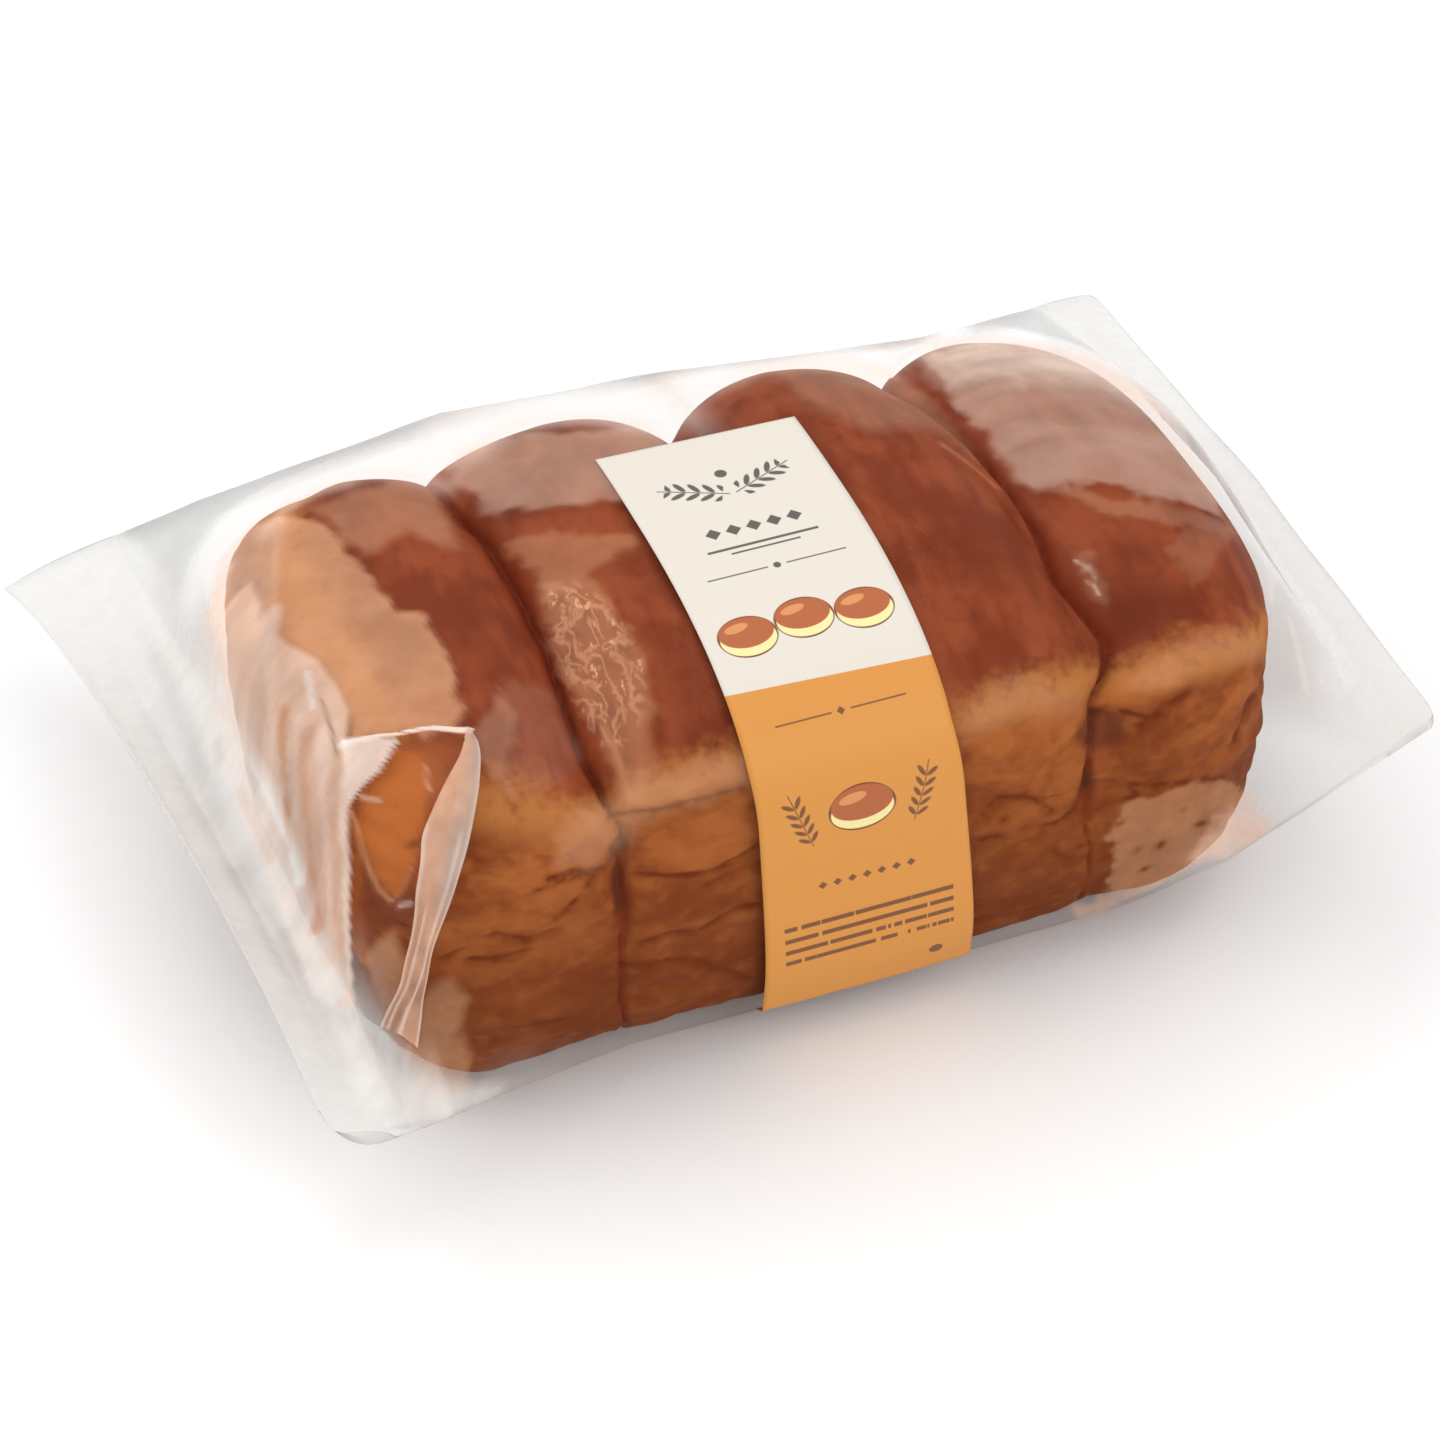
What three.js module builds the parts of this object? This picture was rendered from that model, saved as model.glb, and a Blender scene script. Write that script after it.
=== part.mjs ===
// A four-lobed brioche loaf in a sealed clear bag, with a long paper label over its top and front.
// Millimetres. X runs along the loaf, -Y is its front, +Z is up, and the bag rests on Z = 0.

import * as THREE from 'three';

// Loaf inside the bag
const LOAF_ENDS = {
  left: { reach: 104, rounding: 40, power: 3.4 },
  right: { reach: 107.5, rounding: 45, power: 2.6 },
};
const LOAF_FRONT = 63.4;
const LOAF_BACK = 60.9;
const LOAF_HEIGHT = 92.4;
const SHOULDER_HEIGHT = 61;
const END_LOBE_DROP = 7;
const LOBE_PITCH = 50.5;
const END_CENTRE_HEIGHT = 50;
const FRONT_TOP_POWER = 2.3;
const BACK_TOP_POWER = 2.85;
const BASE_POWER = 4.9;

// Film over the loaf
const FILM_GAP = 0.8;
const FILM_DIP = 6;
const DIP_PLACES = [-51, 55];
const DIP_POWER = 3;
const DIP_SIDE_SHARE = 0.25;
const DIP_START_HEIGHT = 40;
const DIP_FULL_HEIGHT = 80;

// The bag's two long fold lines, from its left seal to its right seal
const BACK_FOLD = [
  [-131, 115, 22],
  [-92, 88.5, 55],
  [-45, 61, 84],
  [5, 55, 86],
  [40, 46, 88],
  [61, 50, 83],
  [131, 111, 36],
];
const FRONT_FOLD = [
  [-120, -93, 33],
  [-84, -75.5, 22],
  [-50, -60.5, 11],
  [0, -59, 9],
  [60, -59, 10],
  [84, -62, 18],
  [114, -95, 75],
];

// End seals
const TOUCH_X = 92;
const SEAL_START = 0.78;
const SEAL_THICKNESS = 1.2;
const SEAL_EDGE_TAPER = 4;
const SEALS = {
  left: { arch: 18, frontRadius: 10, backRadius: 2 },
  right: { arch: 1, frontRadius: 10, backRadius: 4 },
};
const ARCH_POWER = 2.5;

// Label
const LABEL_TOP_EDGES = [-24, 19.5];
const LABEL_BOTTOM_EDGES = [-20, 27];
const LABEL_TURN_HEIGHT = 75;
const LABEL_TOP_Y = [23.2, 21.6];
const LABEL_BOTTOM_Z = 5;
const LABEL_GAP = 0.6;
const LABEL_THICKNESS = 0.4;

// Mesh density
const ARC_STEPS = 48;
const SHEET_STEPS = 26;
const EVEN_SPACING_SHARE = 0.6;
const BODY_STEPS = 40;
const DIP_STATIONS = [-5, -2, 0, 2, 5];
const LEAST_STATION_GAP = 1;
const SEAL_STATIONS = [1, 0.95, 0.88, SEAL_START, 0.7, 0.62, 0.54, 0.48, 0.42, 0.36, 0.28, 0.19, 0.09];
const LABEL_COLUMNS = 8;
const LABEL_ROWS = 60;

const clamp01 = (v) => Math.min(1, Math.max(0, v));
const lerp = (a, b, t) => a + (b - a) * t;
const signedPower = (v, power) => Math.sign(v) * Math.abs(v) ** power;

// How much of the full section is left at x, from 1 along the body to 0 at the loaf's end
function endScale(x) {
  const end = x < 0 ? LOAF_ENDS.left : LOAF_ENDS.right;
  const v = clamp01((Math.abs(x) - end.reach + end.rounding) / end.rounding);
  return (1 - v ** end.power) ** (1 / end.power);
}

// Depth of the film over the two outer joints between lobes; the label spans the middle one
function filmDip(x, z) {
  const nearest = Math.min(...DIP_PLACES.map((place) => Math.abs(x - place)));
  const u = clamp01(1 - nearest / (LOBE_PITCH / 2));
  const rise = clamp01((z - DIP_START_HEIGHT) / (DIP_FULL_HEIGHT - DIP_START_HEIGHT));
  return FILM_DIP * u ** DIP_POWER * lerp(DIP_SIDE_SHARE, 1, rise);
}

// Closed outline [y, z] of the film round the loaf at x
function bodySection(x) {
  const scale = endScale(x);
  const drop = END_LOBE_DROP * clamp01((Math.abs(x) - LOBE_PITCH / 2) / LOBE_PITCH);
  const crown = LOAF_HEIGHT - drop - SHOULDER_HEIGHT + FILM_GAP;
  const points = [];
  for (let i = 0; i < 4 * ARC_STEPS; i += 1) {
    const angle = (i / (2 * ARC_STEPS)) * Math.PI;
    const c = Math.cos(angle);
    const s = Math.sin(angle);
    const topPower = c < 0 ? FRONT_TOP_POWER : BACK_TOP_POWER;
    const power = 2 / (s >= 0 ? topPower : BASE_POWER);
    const reach = s >= 0 ? crown : SHOULDER_HEIGHT + FILM_GAP;
    const y = ((c < 0 ? LOAF_FRONT : LOAF_BACK) + FILM_GAP) * signedPower(c, power);
    const z = SHOULDER_HEIGHT + reach * signedPower(s, power);
    const dip = filmDip(x, z) / Math.hypot(y, z - END_CENTRE_HEIGHT);
    const grow = scale * (1 - dip);
    points.push([y * grow, END_CENTRE_HEIGHT + (z - END_CENTRE_HEIGHT) * grow]);
  }
  return points;
}

// Point [y, z] of a fold line at x
function foldAt(fold, x) {
  const next = fold.findIndex((p, i) => i > 0 && x <= p[0]);
  const [a, b] = [fold[next - 1], fold[next]];
  const t = (x - a[0]) / (b[0] - a[0]);
  return [lerp(a[1], b[1], t), lerp(a[2], b[2], t)];
}

// Counterclockwise convex hull of [y, z] points
function convexHull(points) {
  const sorted = [...points].sort((a, b) => a[0] - b[0] || a[1] - b[1]);
  const cross = (o, a, b) => (a[0] - o[0]) * (b[1] - o[1]) - (a[1] - o[1]) * (b[0] - o[0]);
  const chain = (list) => {
    const out = [];
    for (const p of list) {
      while (out.length > 1 && cross(out.at(-2), out.at(-1), p) <= 1e-9) out.pop();
      out.push(p);
    }
    out.pop();
    return out;
  };
  return [...chain(sorted), ...chain(sorted.reverse())];
}

// Index of the hull point that lies nearest a fold line
function nearestIndex(hull, point) {
  const away = hull.map((p) => Math.hypot(p[0] - point[0], p[1] - point[1]));
  return away.indexOf(Math.min(...away));
}

// The hull's points from one index to another, counterclockwise, both ends included
function hullRun(hull, from, to) {
  const run = [hull[from]];
  for (let i = from; i !== to; ) {
    i = (i + 1) % hull.length;
    run.push(hull[i]);
  }
  return run;
}

// Cumulative length along a run of points
function runLengths(run) {
  const lengths = [0];
  for (let i = 1; i < run.length; i += 1) {
    lengths.push(lengths[i - 1] + Math.hypot(run[i][0] - run[i - 1][0], run[i][1] - run[i - 1][1]));
  }
  return lengths;
}

// Point at a given length along a run
function pointAt(run, lengths, length) {
  let i = 1;
  while (i < run.length - 1 && lengths[i] < length) i += 1;
  const t = clamp01((length - lengths[i - 1]) / (lengths[i] - lengths[i - 1] || 1));
  return [lerp(run[i - 1][0], run[i][0], t), lerp(run[i - 1][1], run[i][1], t)];
}

// One film sheet as SHEET_STEPS points, closer together near the folds
function spacedRun(run) {
  const lengths = runLengths(run);
  const points = [];
  for (let i = 0; i < SHEET_STEPS; i += 1) {
    const u = i / SHEET_STEPS;
    const eased = 0.5 - 0.5 * Math.cos(Math.PI * u);
    points.push(pointAt(run, lengths, lengths.at(-1) * lerp(eased, u, EVEN_SPACING_SHARE)));
  }
  return points;
}

// Section of the whole bag: under sheet from the front fold to the back fold, then the top sheet back
function bagSection(outline, frontFold, backFold) {
  const hull = convexHull([...outline, frontFold, backFold]);
  const front = nearestIndex(hull, frontFold);
  const back = nearestIndex(hull, backFold);
  return [...spacedRun(hullRun(hull, front, back)), ...spacedRun(hullRun(hull, back, front))];
}

// Body station: a ring of [x, y, z] points at x, pressed flat where the bag rests
function bodyRing(x) {
  const ring = bagSection(bodySection(x), foldAt(FRONT_FOLD, x), foldAt(BACK_FOLD, x));
  return ring.map(([y, z]) => [x, y, Math.max(0, z)]);
}

// Share of a corner's cut that applies at a place along the seal, from -1 at its front to 1 at its back
function cornerShare(place, zone) {
  const q = clamp01((Math.abs(place) - 1 + zone) / zone);
  return 1 - Math.sqrt(1 - q * q);
}

// One end of a fold line: where it leaves the loaf, its corner of the seal, and the corner's cut
function foldEnd(fold, side, radius) {
  const touch = side === 'left' ? -TOUCH_X : TOUCH_X;
  const corner = side === 'left' ? fold[0] : fold.at(-1);
  const [y, z] = foldAt(fold, touch);
  const length = Math.hypot(corner[0] - touch, corner[1] - y, corner[2] - z);
  const at = (t) => [lerp(y, corner[1], t), lerp(z, corner[2], t)];
  return { corner, radius, cut: radius / length, at };
}

// Seal station: t goes from 0, where the film leaves the loaf, to 1 at the seal's outer edge
function sealRing(side, t) {
  const touch = side === 'left' ? -TOUCH_X : TOUCH_X;
  const seal = SEALS[side];
  const front = foldEnd(FRONT_FOLD, side, seal.frontRadius);
  const back = foldEnd(BACK_FOLD, side, seal.backRadius);
  const middle = [1, 2].map((axis) => (front.corner[axis] + back.corner[axis]) / 2);
  const halfLength = (back.corner[1] - front.corner[1]) / 2;
  const sealX = (y) => lerp(front.corner[0], back.corner[0], (y - front.corner[1]) / (2 * halfLength));
  const bend = (y) => 1 - Math.min(1, Math.abs(y - middle[0]) / halfLength) ** ARCH_POWER;
  const arch = (y) => t * t * seal.arch * bend(y);
  const left = 1 - clamp01(t / SEAL_START);
  const drawn = bodySection(touch).map(([y, z]) => {
    const movedY = lerp(middle[0], y, left);
    return [movedY, lerp(middle[1] + arch(movedY), z, left) - arch(movedY)];
  });
  const loafX = lerp(touch, front.corner[0], t);
  const held = endScale(loafX) > 0 ? bodySection(loafX).map(([y, z]) => [y, z - arch(y)]) : [];
  const outline = [...drawn, ...held];
  const ring = bagSection(outline, front.at(t - front.cut * t * t), back.at(t - back.cut * t * t));
  const [start, end] = [ring[0][0], ring[SHEET_STEPS][0]];
  const thick = ((1 - left) * SEAL_THICKNESS) / 2;
  return ring.map(([y, z], i) => {
    const taper = clamp01(Math.min(y - start, end - y) / SEAL_EDGE_TAPER);
    const lift = (i < SHEET_STEPS ? -thick : thick) * taper;
    const place = (2 * (y - start)) / (end - start) - 1;
    const nearer = place < 0 ? front : back;
    const local = t - nearer.cut * t * t * cornerShare(place, nearer.radius / halfLength);
    return [lerp(touch, sealX(y), local), y, Math.max(0, z + arch(y) + lift)];
  });
}

// Places along X where the body's film is sampled
function bodyStations() {
  const stations = [];
  for (let i = 0; i <= BODY_STEPS; i += 1) stations.push(lerp(-TOUCH_X, TOUCH_X, i / BODY_STEPS));
  for (const dip of DIP_PLACES) {
    for (const offset of DIP_STATIONS) stations.push(dip + offset);
  }
  stations.sort((a, b) => a - b);
  return stations.filter((x, i) => i === 0 || x - stations[i - 1] > LEAST_STATION_GAP);
}

// Closed solid from rings of equal length, capped across its two thin ends
function loftGeometry(rings) {
  const size = rings[0].length;
  const positions = rings.flat(2);
  const faces = [];
  for (let i = 0; i + 1 < rings.length; i += 1) {
    for (let j = 0; j < size; j += 1) {
      const a = i * size + j;
      const b = i * size + ((j + 1) % size);
      faces.push(a, b, b + size, a, b + size, a + size);
    }
  }
  const last = (rings.length - 1) * size;
  for (let j = 0; j < size / 2; j += 1) {
    const [a, b] = [j, j + 1];
    const [c, d] = [(size - j - 1) % size, (size - j) % size];
    if (b !== c) {
      faces.push(a, c, b);
      faces.push(last + a, last + b, last + c);
    }
    if (d !== a) {
      faces.push(a, d, c);
      faces.push(last + a, last + c, last + d);
    }
  }
  const geometry = new THREE.BufferGeometry();
  geometry.setAttribute('position', new THREE.Float32BufferAttribute(positions, 3));
  geometry.setIndex(faces);
  geometry.computeVertexNormals();
  return geometry;
}

function bagGeometry() {
  const rings = SEAL_STATIONS.map((t) => sealRing('left', t));
  rings.push(...bodyStations().map(bodyRing));
  rings.push(...[...SEAL_STATIONS].reverse().map((t) => sealRing('right', t)));
  return loftGeometry(rings);
}

// Length along a run at which a coordinate first passes a value
function lengthAt(run, lengths, axis, value) {
  const i = run.findIndex((p, k) => k > 0 && p[axis] > value && run[k - 1][axis] <= value);
  return lerp(lengths[i - 1], lengths[i], (value - run[i - 1][axis]) / (run[i][axis] - run[i - 1][axis]));
}

// The label's path at x: film points from its bottom end up the front and over the top to topY
function labelPath(x, topY) {
  const hull = convexHull([...bodySection(x), foldAt(FRONT_FOLD, x), foldAt(BACK_FOLD, x)]);
  const run = hullRun(hull, nearestIndex(hull, foldAt(BACK_FOLD, x)), nearestIndex(hull, [0, 0])).reverse();
  const lengths = runLengths(run);
  const start = lengthAt(run, lengths, 1, LABEL_BOTTOM_Z);
  const end = lengthAt(run, lengths, 0, topY);
  const path = [];
  for (let i = 0; i <= LABEL_ROWS; i += 1) {
    path.push(pointAt(run, lengths, lerp(start, end, i / LABEL_ROWS)));
  }
  return path;
}

// A path moved outwards by a distance
function offsetPath(path, distance) {
  return path.map(([y, z], i) => {
    const a = path[Math.max(0, i - 1)];
    const b = path[Math.min(path.length - 1, i + 1)];
    const length = Math.hypot(b[0] - a[0], b[1] - a[1]);
    return [y - ((b[1] - a[1]) / length) * distance, z + ((b[0] - a[0]) / length) * distance];
  });
}

// Label: at each station the ring runs up its inner face and back down its outer face
function labelGeometry() {
  const rings = [];
  for (let i = 0; i <= LABEL_COLUMNS; i += 1) {
    const across = i / LABEL_COLUMNS;
    const topX = lerp(...LABEL_TOP_EDGES, across);
    const bottomX = lerp(...LABEL_BOTTOM_EDGES, across);
    const path = labelPath(topX, lerp(...LABEL_TOP_Y, across));
    const inner = offsetPath(path, LABEL_GAP);
    const outer = offsetPath(path, LABEL_GAP + LABEL_THICKNESS).reverse();
    const xAt = (z) => lerp(bottomX, topX, clamp01(z / LABEL_TURN_HEIGHT));
    rings.push([...inner, ...outer].map(([y, z]) => [xAt(z), y, z]));
  }
  return loftGeometry(rings);
}

const crust = new THREE.MeshStandardMaterial({ color: 0x93482d, roughness: 0.35, metalness: 0 });
const paper = new THREE.MeshStandardMaterial({ color: 0xecd3ab, roughness: 0.6, metalness: 0 });

const bag = new THREE.Mesh(bagGeometry(), crust);
bag.name = 'bag';
const label = new THREE.Mesh(labelGeometry(), paper);
label.name = 'label';

const loafPack = new THREE.Group();
loafPack.add(bag, label);

// The origin goes to the middle of the pack's outline, on the surface it rests on
const outline = new THREE.Box3().setFromObject(loafPack);
loafPack.position.set(-(outline.min.x + outline.max.x) / 2, -(outline.min.y + outline.max.y) / 2, 0);

export default loafPack;
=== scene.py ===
import math

import bpy
import numpy as np
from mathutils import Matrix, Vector
from mathutils.bvhtree import BVHTree
from mathutils.geometry import barycentric_transform


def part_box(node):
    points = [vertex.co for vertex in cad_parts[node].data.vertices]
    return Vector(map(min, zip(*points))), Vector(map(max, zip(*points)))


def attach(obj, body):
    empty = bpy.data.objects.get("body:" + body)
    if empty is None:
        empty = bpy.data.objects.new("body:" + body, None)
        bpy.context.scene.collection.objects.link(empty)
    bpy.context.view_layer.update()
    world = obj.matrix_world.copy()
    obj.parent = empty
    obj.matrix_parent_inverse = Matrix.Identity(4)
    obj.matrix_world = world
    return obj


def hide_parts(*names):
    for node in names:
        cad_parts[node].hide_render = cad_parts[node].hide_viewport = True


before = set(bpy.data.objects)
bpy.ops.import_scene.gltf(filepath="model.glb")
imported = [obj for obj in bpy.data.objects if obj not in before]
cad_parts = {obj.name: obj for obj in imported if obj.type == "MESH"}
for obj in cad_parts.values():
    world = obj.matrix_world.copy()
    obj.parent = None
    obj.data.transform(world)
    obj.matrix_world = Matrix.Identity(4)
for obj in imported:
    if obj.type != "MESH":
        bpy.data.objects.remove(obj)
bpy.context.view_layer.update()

# A four-lobed brioche loaf in a sealed clear bag, with a long paper label over its top and front.
# Shapes are worked out in millimetres: X along the loaf, -Y its front, +Z up, the bag resting on Z = 0.
MM = 0.001
# Whole numbers that mix up the noise's lattice, and the noise's offset and strength
SEED = 7
HASH_FACTORS = (374761393, 668265263, 2246822519)
HASH_SEED_FACTOR = 3266489917
HASH_ROUNDS = ((13, 1274126177), (15, 2654435761))
HASH_MASK = 0xFFFFFFFF
NOISE_OFFSET = 0.37
NOISE_GAIN = 1.6
LAYER_SEED_STEP = 11
# Guards against rounding and against division by nothing
HULL_GUARD = 1e-9
LENGTH_GUARD = 1e-12

# Loaf
LOAF_ENDS = {
    "left": {"reach": 104, "rounding": 40, "power": 3.4},
    "right": {"reach": 107.5, "rounding": 45, "power": 2.6},
}
LOAF_FRONT = 63.4
LOAF_BACK = 60.9
LOAF_HEIGHT = 92.4
SHOULDER_HEIGHT = 61
END_LOBE_DROP = 7
LOBE_PITCH = 50.5
END_CENTRE = np.array([0, 50])
FRONT_TOP_POWER = 2.3
BACK_TOP_POWER = 2.85
BASE_POWER = 4.9
LOAF_INSET = 0.2
# The loaf's points stand closer together at the joints and wider apart over its back and hidden underside
LOAF_STATIONS = 300
LOAF_AROUND = 322
PLAN_SAMPLES = 4001
SECTION_SAMPLES = 1600
CROWDING_REACH = 5
BACK_START = 10
BACK_DENSITY = 0.5
BOTTOM_HEIGHT = 3
BOTTOM_DENSITY = 0.2

# Joints between the lobes: depth, the share of it left behind the crown, and path as points (length, x,
# crease width). Lengths run round the section from the crown, negative down its front.
JOINTS = [
    {"depth": 11, "back": 0.6, "path": [
        (-127, -49, 0.3), (-115, -50.6, 0.5), (-99, -50.8, 0.5), (-87, -50.3, 0.9), (-76, -49.4, 0.9),
        (-71, -48.8, 0.15), (-62, -50.6, 0.2), (-54, -52, 0.5), (-48, -52.8, 0.7), (-33, -52.6, 0.9),
        (-16, -50.7, 0.9), (4, -49.8, 1.2), (14, -49.8, 1.3), (23, -50.2, 0.8), (40, -52.8, 0.5),
    ]},
    {"depth": 14, "back": 1, "path": [(-100, 2, 0.7), (-60, 0, 1.0), (0, -1, 1.2), (40, 1, 0.8)]},
    {"depth": 9.5, "back": 1, "path": [
        (-106, 52, 0.2), (-98, 50.6, 0.4), (-88, 50.4, 0.9), (-82, 51, 0.6), (-76, 52, 0.2),
        (-68, 52.4, 0.35), (-60, 57, 0.6), (-52, 60, 1.2), (-44, 58.3, 1.6), (-34, 56.6, 1.6),
        (-20, 58.2, 1.0), (-7, 59, 0.8), (15, 57, 0.7), (28, 55.2, 0.7), (39, 51.4, 0.5),
    ]},
]
JOINT_SIDE_SHARE = 0.13
JOINT_FADE_HEIGHTS = (44, 80)
JOINT_POWERS = (2.9, 2.2)
JOINT_BACK_LENGTHS = (12, 45)
JOINT_ROUNDING = 0.6
JOINT_WOBBLE = 0.5
JOINT_WOBBLE_REACH = 14
CREASE_DEPTH = 1.2
CREASE_SPREAD = 4
CREASE_FOOT_HEIGHTS = (2, 8)
# Spots where a joint's two lobes press together: centre (x, length), radii and strength
PINCHES = [
    ((-50, -74.5), (2.4, 3.6), 1.1),
    ((-50.8, -84), (1.8, 8), 1),
    ((53.5, -75.5), (6.5, 6), 1.1),
    ((50.8, -89), (2.6, 4), 0.8),
    ((-43.5, -67.5), (3, 1.4), 0.35),
]
PINCH_DEPTH = 1.6
# Lengths over which the joints get shallower behind the crown, and the share of the film's dip that the
# loaf's left half keeps there
HELD_BACK_LENGTHS = (28, 42)
HELD_BACK_SHARE = 0.6
# Fuller back of the first lobe: centre (x, length), radii and height
LOBE_BULGES = [((-74, 46), (24, 20), 2.2)]

# Crust relief: the glaze's lower edge as (x, height), and cracks, pits and pimples as (x, length)
GLAZE_EDGE = np.array([
    (-104, 88), (-88, 86), (-80, 81), (-73, 79.5), (-60, 77), (-54, 76), (-31, 79), (-22, 80), (29, 77.6),
    (47, 78), (57, 76.5), (76, 75), (88, 72), (100, 66),
], float)
GLAZE_WAVER = 1.2
GLAZE_WAVER_REACH = 20
# How far the height above the glaze's edge is followed, and where the matt sides begin and end
LEVEL_REACH = 20
SIDE_LEVELS = (-3, 1)
SIDE_FOOT_HEIGHTS = (1, 6)
CRACKS = [
    [(-78, -82), (-71, -87), (-65, -88)],
    [(-83, -87), (-78, -89), (-71, -90)],
    [(-66, -73), (-61, -74), (-54, -77)],
    [(-69, -110), (-64, -112)],
    [(-51, -65), (-45, -65.2), (-39, -66), (-32, -66.5), (-25, -66.6)],
    [(-47, -81), (-38, -83.5), (-31, -84), (-27, -83.5), (-22, -81)],
    [(-46, -99), (-41, -98), (-35, -100.5), (-31, -97.5), (-22, -97.5)],
    [(-51, -104), (-44.5, -105), (-37.5, -107), (-34, -109), (-28, -115.5), (-24, -119)],
    [(25, -91.5), (29.5, -86), (37, -87), (42, -92.5)],
    [(25, -99.5), (26.5, -97.5), (30, -96)],
    [(40.4, -96.3), (44, -96.4), (48, -94), (51.3, -90.5), (51, -84)],
    [(43.5, -104), (46.5, -107), (50, -104)],
    [(59, -90.7), (70, -91.3), (78, -91.5), (88, -94)],
    [(91.2, -69), (89.6, -74), (87.2, -79), (85.7, -83.5)],
    [(58.5, -71.4), (62, -72.6), (66.4, -72.2)],
    [(61.2, -75), (63.4, -72.4), (66.5, -70), (72.3, -66.6)],
]
CRACK_DEPTH = 1.0
CRACK_REACH = 3.0
CRACK_SHARPNESS = 4
CRACK_WARP = 1.0
CRACK_WARP_REACH = 7
FINE_CRACK_REACH = (20, 20, 8)
FINE_CRACK_BREADTH = 0.22
FINE_CRACK_SHARE = 0.95
FINE_CRACK_BEND = (3, 3, 2.2)
FINE_CRACK_BEND_REACH = 14
FINE_CRACK_PATCHES = (-0.15, 0.35)
FINE_CRACK_PATCH_REACH = (22, 22, 12)
# Darker baked spots of the glaze: centre (x, length), radii and strength
DARK_SPOTS = [
    ((68, -47), (13, 8), 0.8),
    ((-63, -20), (6, 16), 0.4),
    ((-28, -45), (7, 14), 0.5),
    ((35, -30), (16, 14), 0.25),
    ((72, -34), (8, 7), 0.5),
    ((-20, -12), (8, 14), 0.3),
]
PITS = [(59, -71.5), (66.5, -96), (78, -103), (65, -103.5), (61.5, -104), (69, -110)]
PIT_REACH = 4.5
PIMPLES = [(33, 0), (43.5, -10.5), (39.5, -14), (47, -25), (33, -41.5), (43.5, -32)]
PIMPLE_RADIUS = 1.2
PIMPLE_HEIGHT = 0.3
WRINKLE_DEPTH = 1.2
WRINKLE_REACH = (24, 24, 7)
WRINKLE_SINK = 0.6
SWELL = 0.45
SWELL_REACH = 34
SWELL_SINK = 0.8
# Heights over which the sides darken towards the foot
FOOT_HEIGHTS = (26, 62)
# Lengths past the front's foot lie on the underside and count as a place behind every mark
FOOT_LENGTH = -250
UNDER_LENGTH = 200
# Bare corner of the first lobe below the ridge, its amber tongue, and the bruise round that, as (x, length)
BARE_CORNER = [
    (-104, -34), (-94, -33), (-87, -31), (-80, -33), (-72, -36), (-77, -43), (-84, -51), (-89, -57),
    (-91, -64), (-94, -71), (-98, -70), (-106, -66),
]
AMBER_TONGUE = [
    (-98.4, -38.6), (-96.6, -35), (-92, -33), (-87, -33), (-83.5, -37), (-84, -44), (-87.5, -51),
    (-91.5, -57.5), (-95.7, -61.6), (-97.2, -56.9), (-98.5, -48.8),
]
AMBER_STRIP = [(-98.6, -40.6), (-100.2, -46), (-100.7, -54.8), (-100.6, -65.7), (-100, -74)]
BRUISE = [
    (-99.7, -44), (-98.4, -50), (-97, -57), (-95.6, -62), (-93.3, -60.4), (-91, -64), (-92, -69.5),
    (-94.5, -71), (-97.6, -68), (-99.6, -58),
]
# Soft edges of these, as depths inside the outline or distances from the strip
CORNER_SOFT = (-1.5, 1.5)
AMBER_SOFT = (-0.8, 0.8)
AMBER_STRIP_SOFT = (1.1, 0.4)
BRUISE_SOFT = (-0.6, 1)

# Film over the loaf
FILM_GAP = 0.8
FILM_DIP = 6
DIP_PLACES = (-51, 55)
DIP_POWER = 3
DIP_SIDE_SHARE = 0.25
DIP_HEIGHTS = (40, 80)
# The bag's two long folds as (x, y, z), from the left seal's corner to the right one's
BACK_FOLD = np.array([
    (-131, 115, 22),
    (-92, 88.5, 55),
    (-45, 61, 84),
    (5, 55, 86),
    (40, 46, 88),
    (61, 50, 83),
    (131, 111, 36),
], float)
FRONT_FOLD = np.array([
    (-120, -93, 33),
    (-84, -75.5, 22),
    (-50, -60.5, 11),
    (0, -59, 9),
    (60, -59, 10),
    (84, -62, 18),
    (114, -95, 75),
], float)
# Where the film leaves the loaf's ends, and the share of the way to the seal's edge where the sheets meet
TOUCH_X = 92
SEAL_START = 0.78
SEAL_THICKNESS = 0.3
SEAL_EDGE_TAPER = 4
# Each seal with the fold point that is its corner, the height of its arch and its corners' radii
SEALS = {
    "left": {"touch": -TOUCH_X, "corner": 0, "arch": 18, "front_radius": 10, "back_radius": 2},
    "right": {"touch": TOUCH_X, "corner": -1, "arch": 1, "front_radius": 10, "back_radius": 4},
}
ARCH_POWER = 2.5
# How many points the film has round its outline, on its two sheets and along X
FILM_SAMPLES = 480
TOP_STEPS = 250
TOP_CROWDING = 0.5
UNDER_STEPS = 40
BODY_STATIONS = 226
SEAL_STATIONS = 57

# How milky the film is everywhere, and in its flat ends
BASE_HAZE = 0.004
FLAT_HAZE = 0.58
FLAT_ENDS = (104, 110)
# How milky the film looks where it stands off the loaf's ends and back, and where that sets in
FREE_HAZE = 0.42
FREE_GAPS = (3, 18)
FREE_ENDS = (98, 104)
FREE_BACK = (15, 32)
FREE_FRONT = (100, 118)
FREE_FRONT_SHARE = 0.45
# Painted shade: the film standing off the loaf's back is greyed and made milkier over these gaps
GREY_SHADE_GAPS = (4, 14)
GREY_SHADE_HAZE = 0.66
# Length that stands for the under sheet, and the share of the flat ends' milkiness that it has
UNDER_SIDE = -900
UNDER_SHARE = 0.6
# Streaks in the flat ends, and over the back of the fourth lobe
STREAKY_FLAT_SHARE = 0.2
STREAKY_X = (56, 62)
STREAKY_LENGTHS = (-16, 0)
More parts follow.
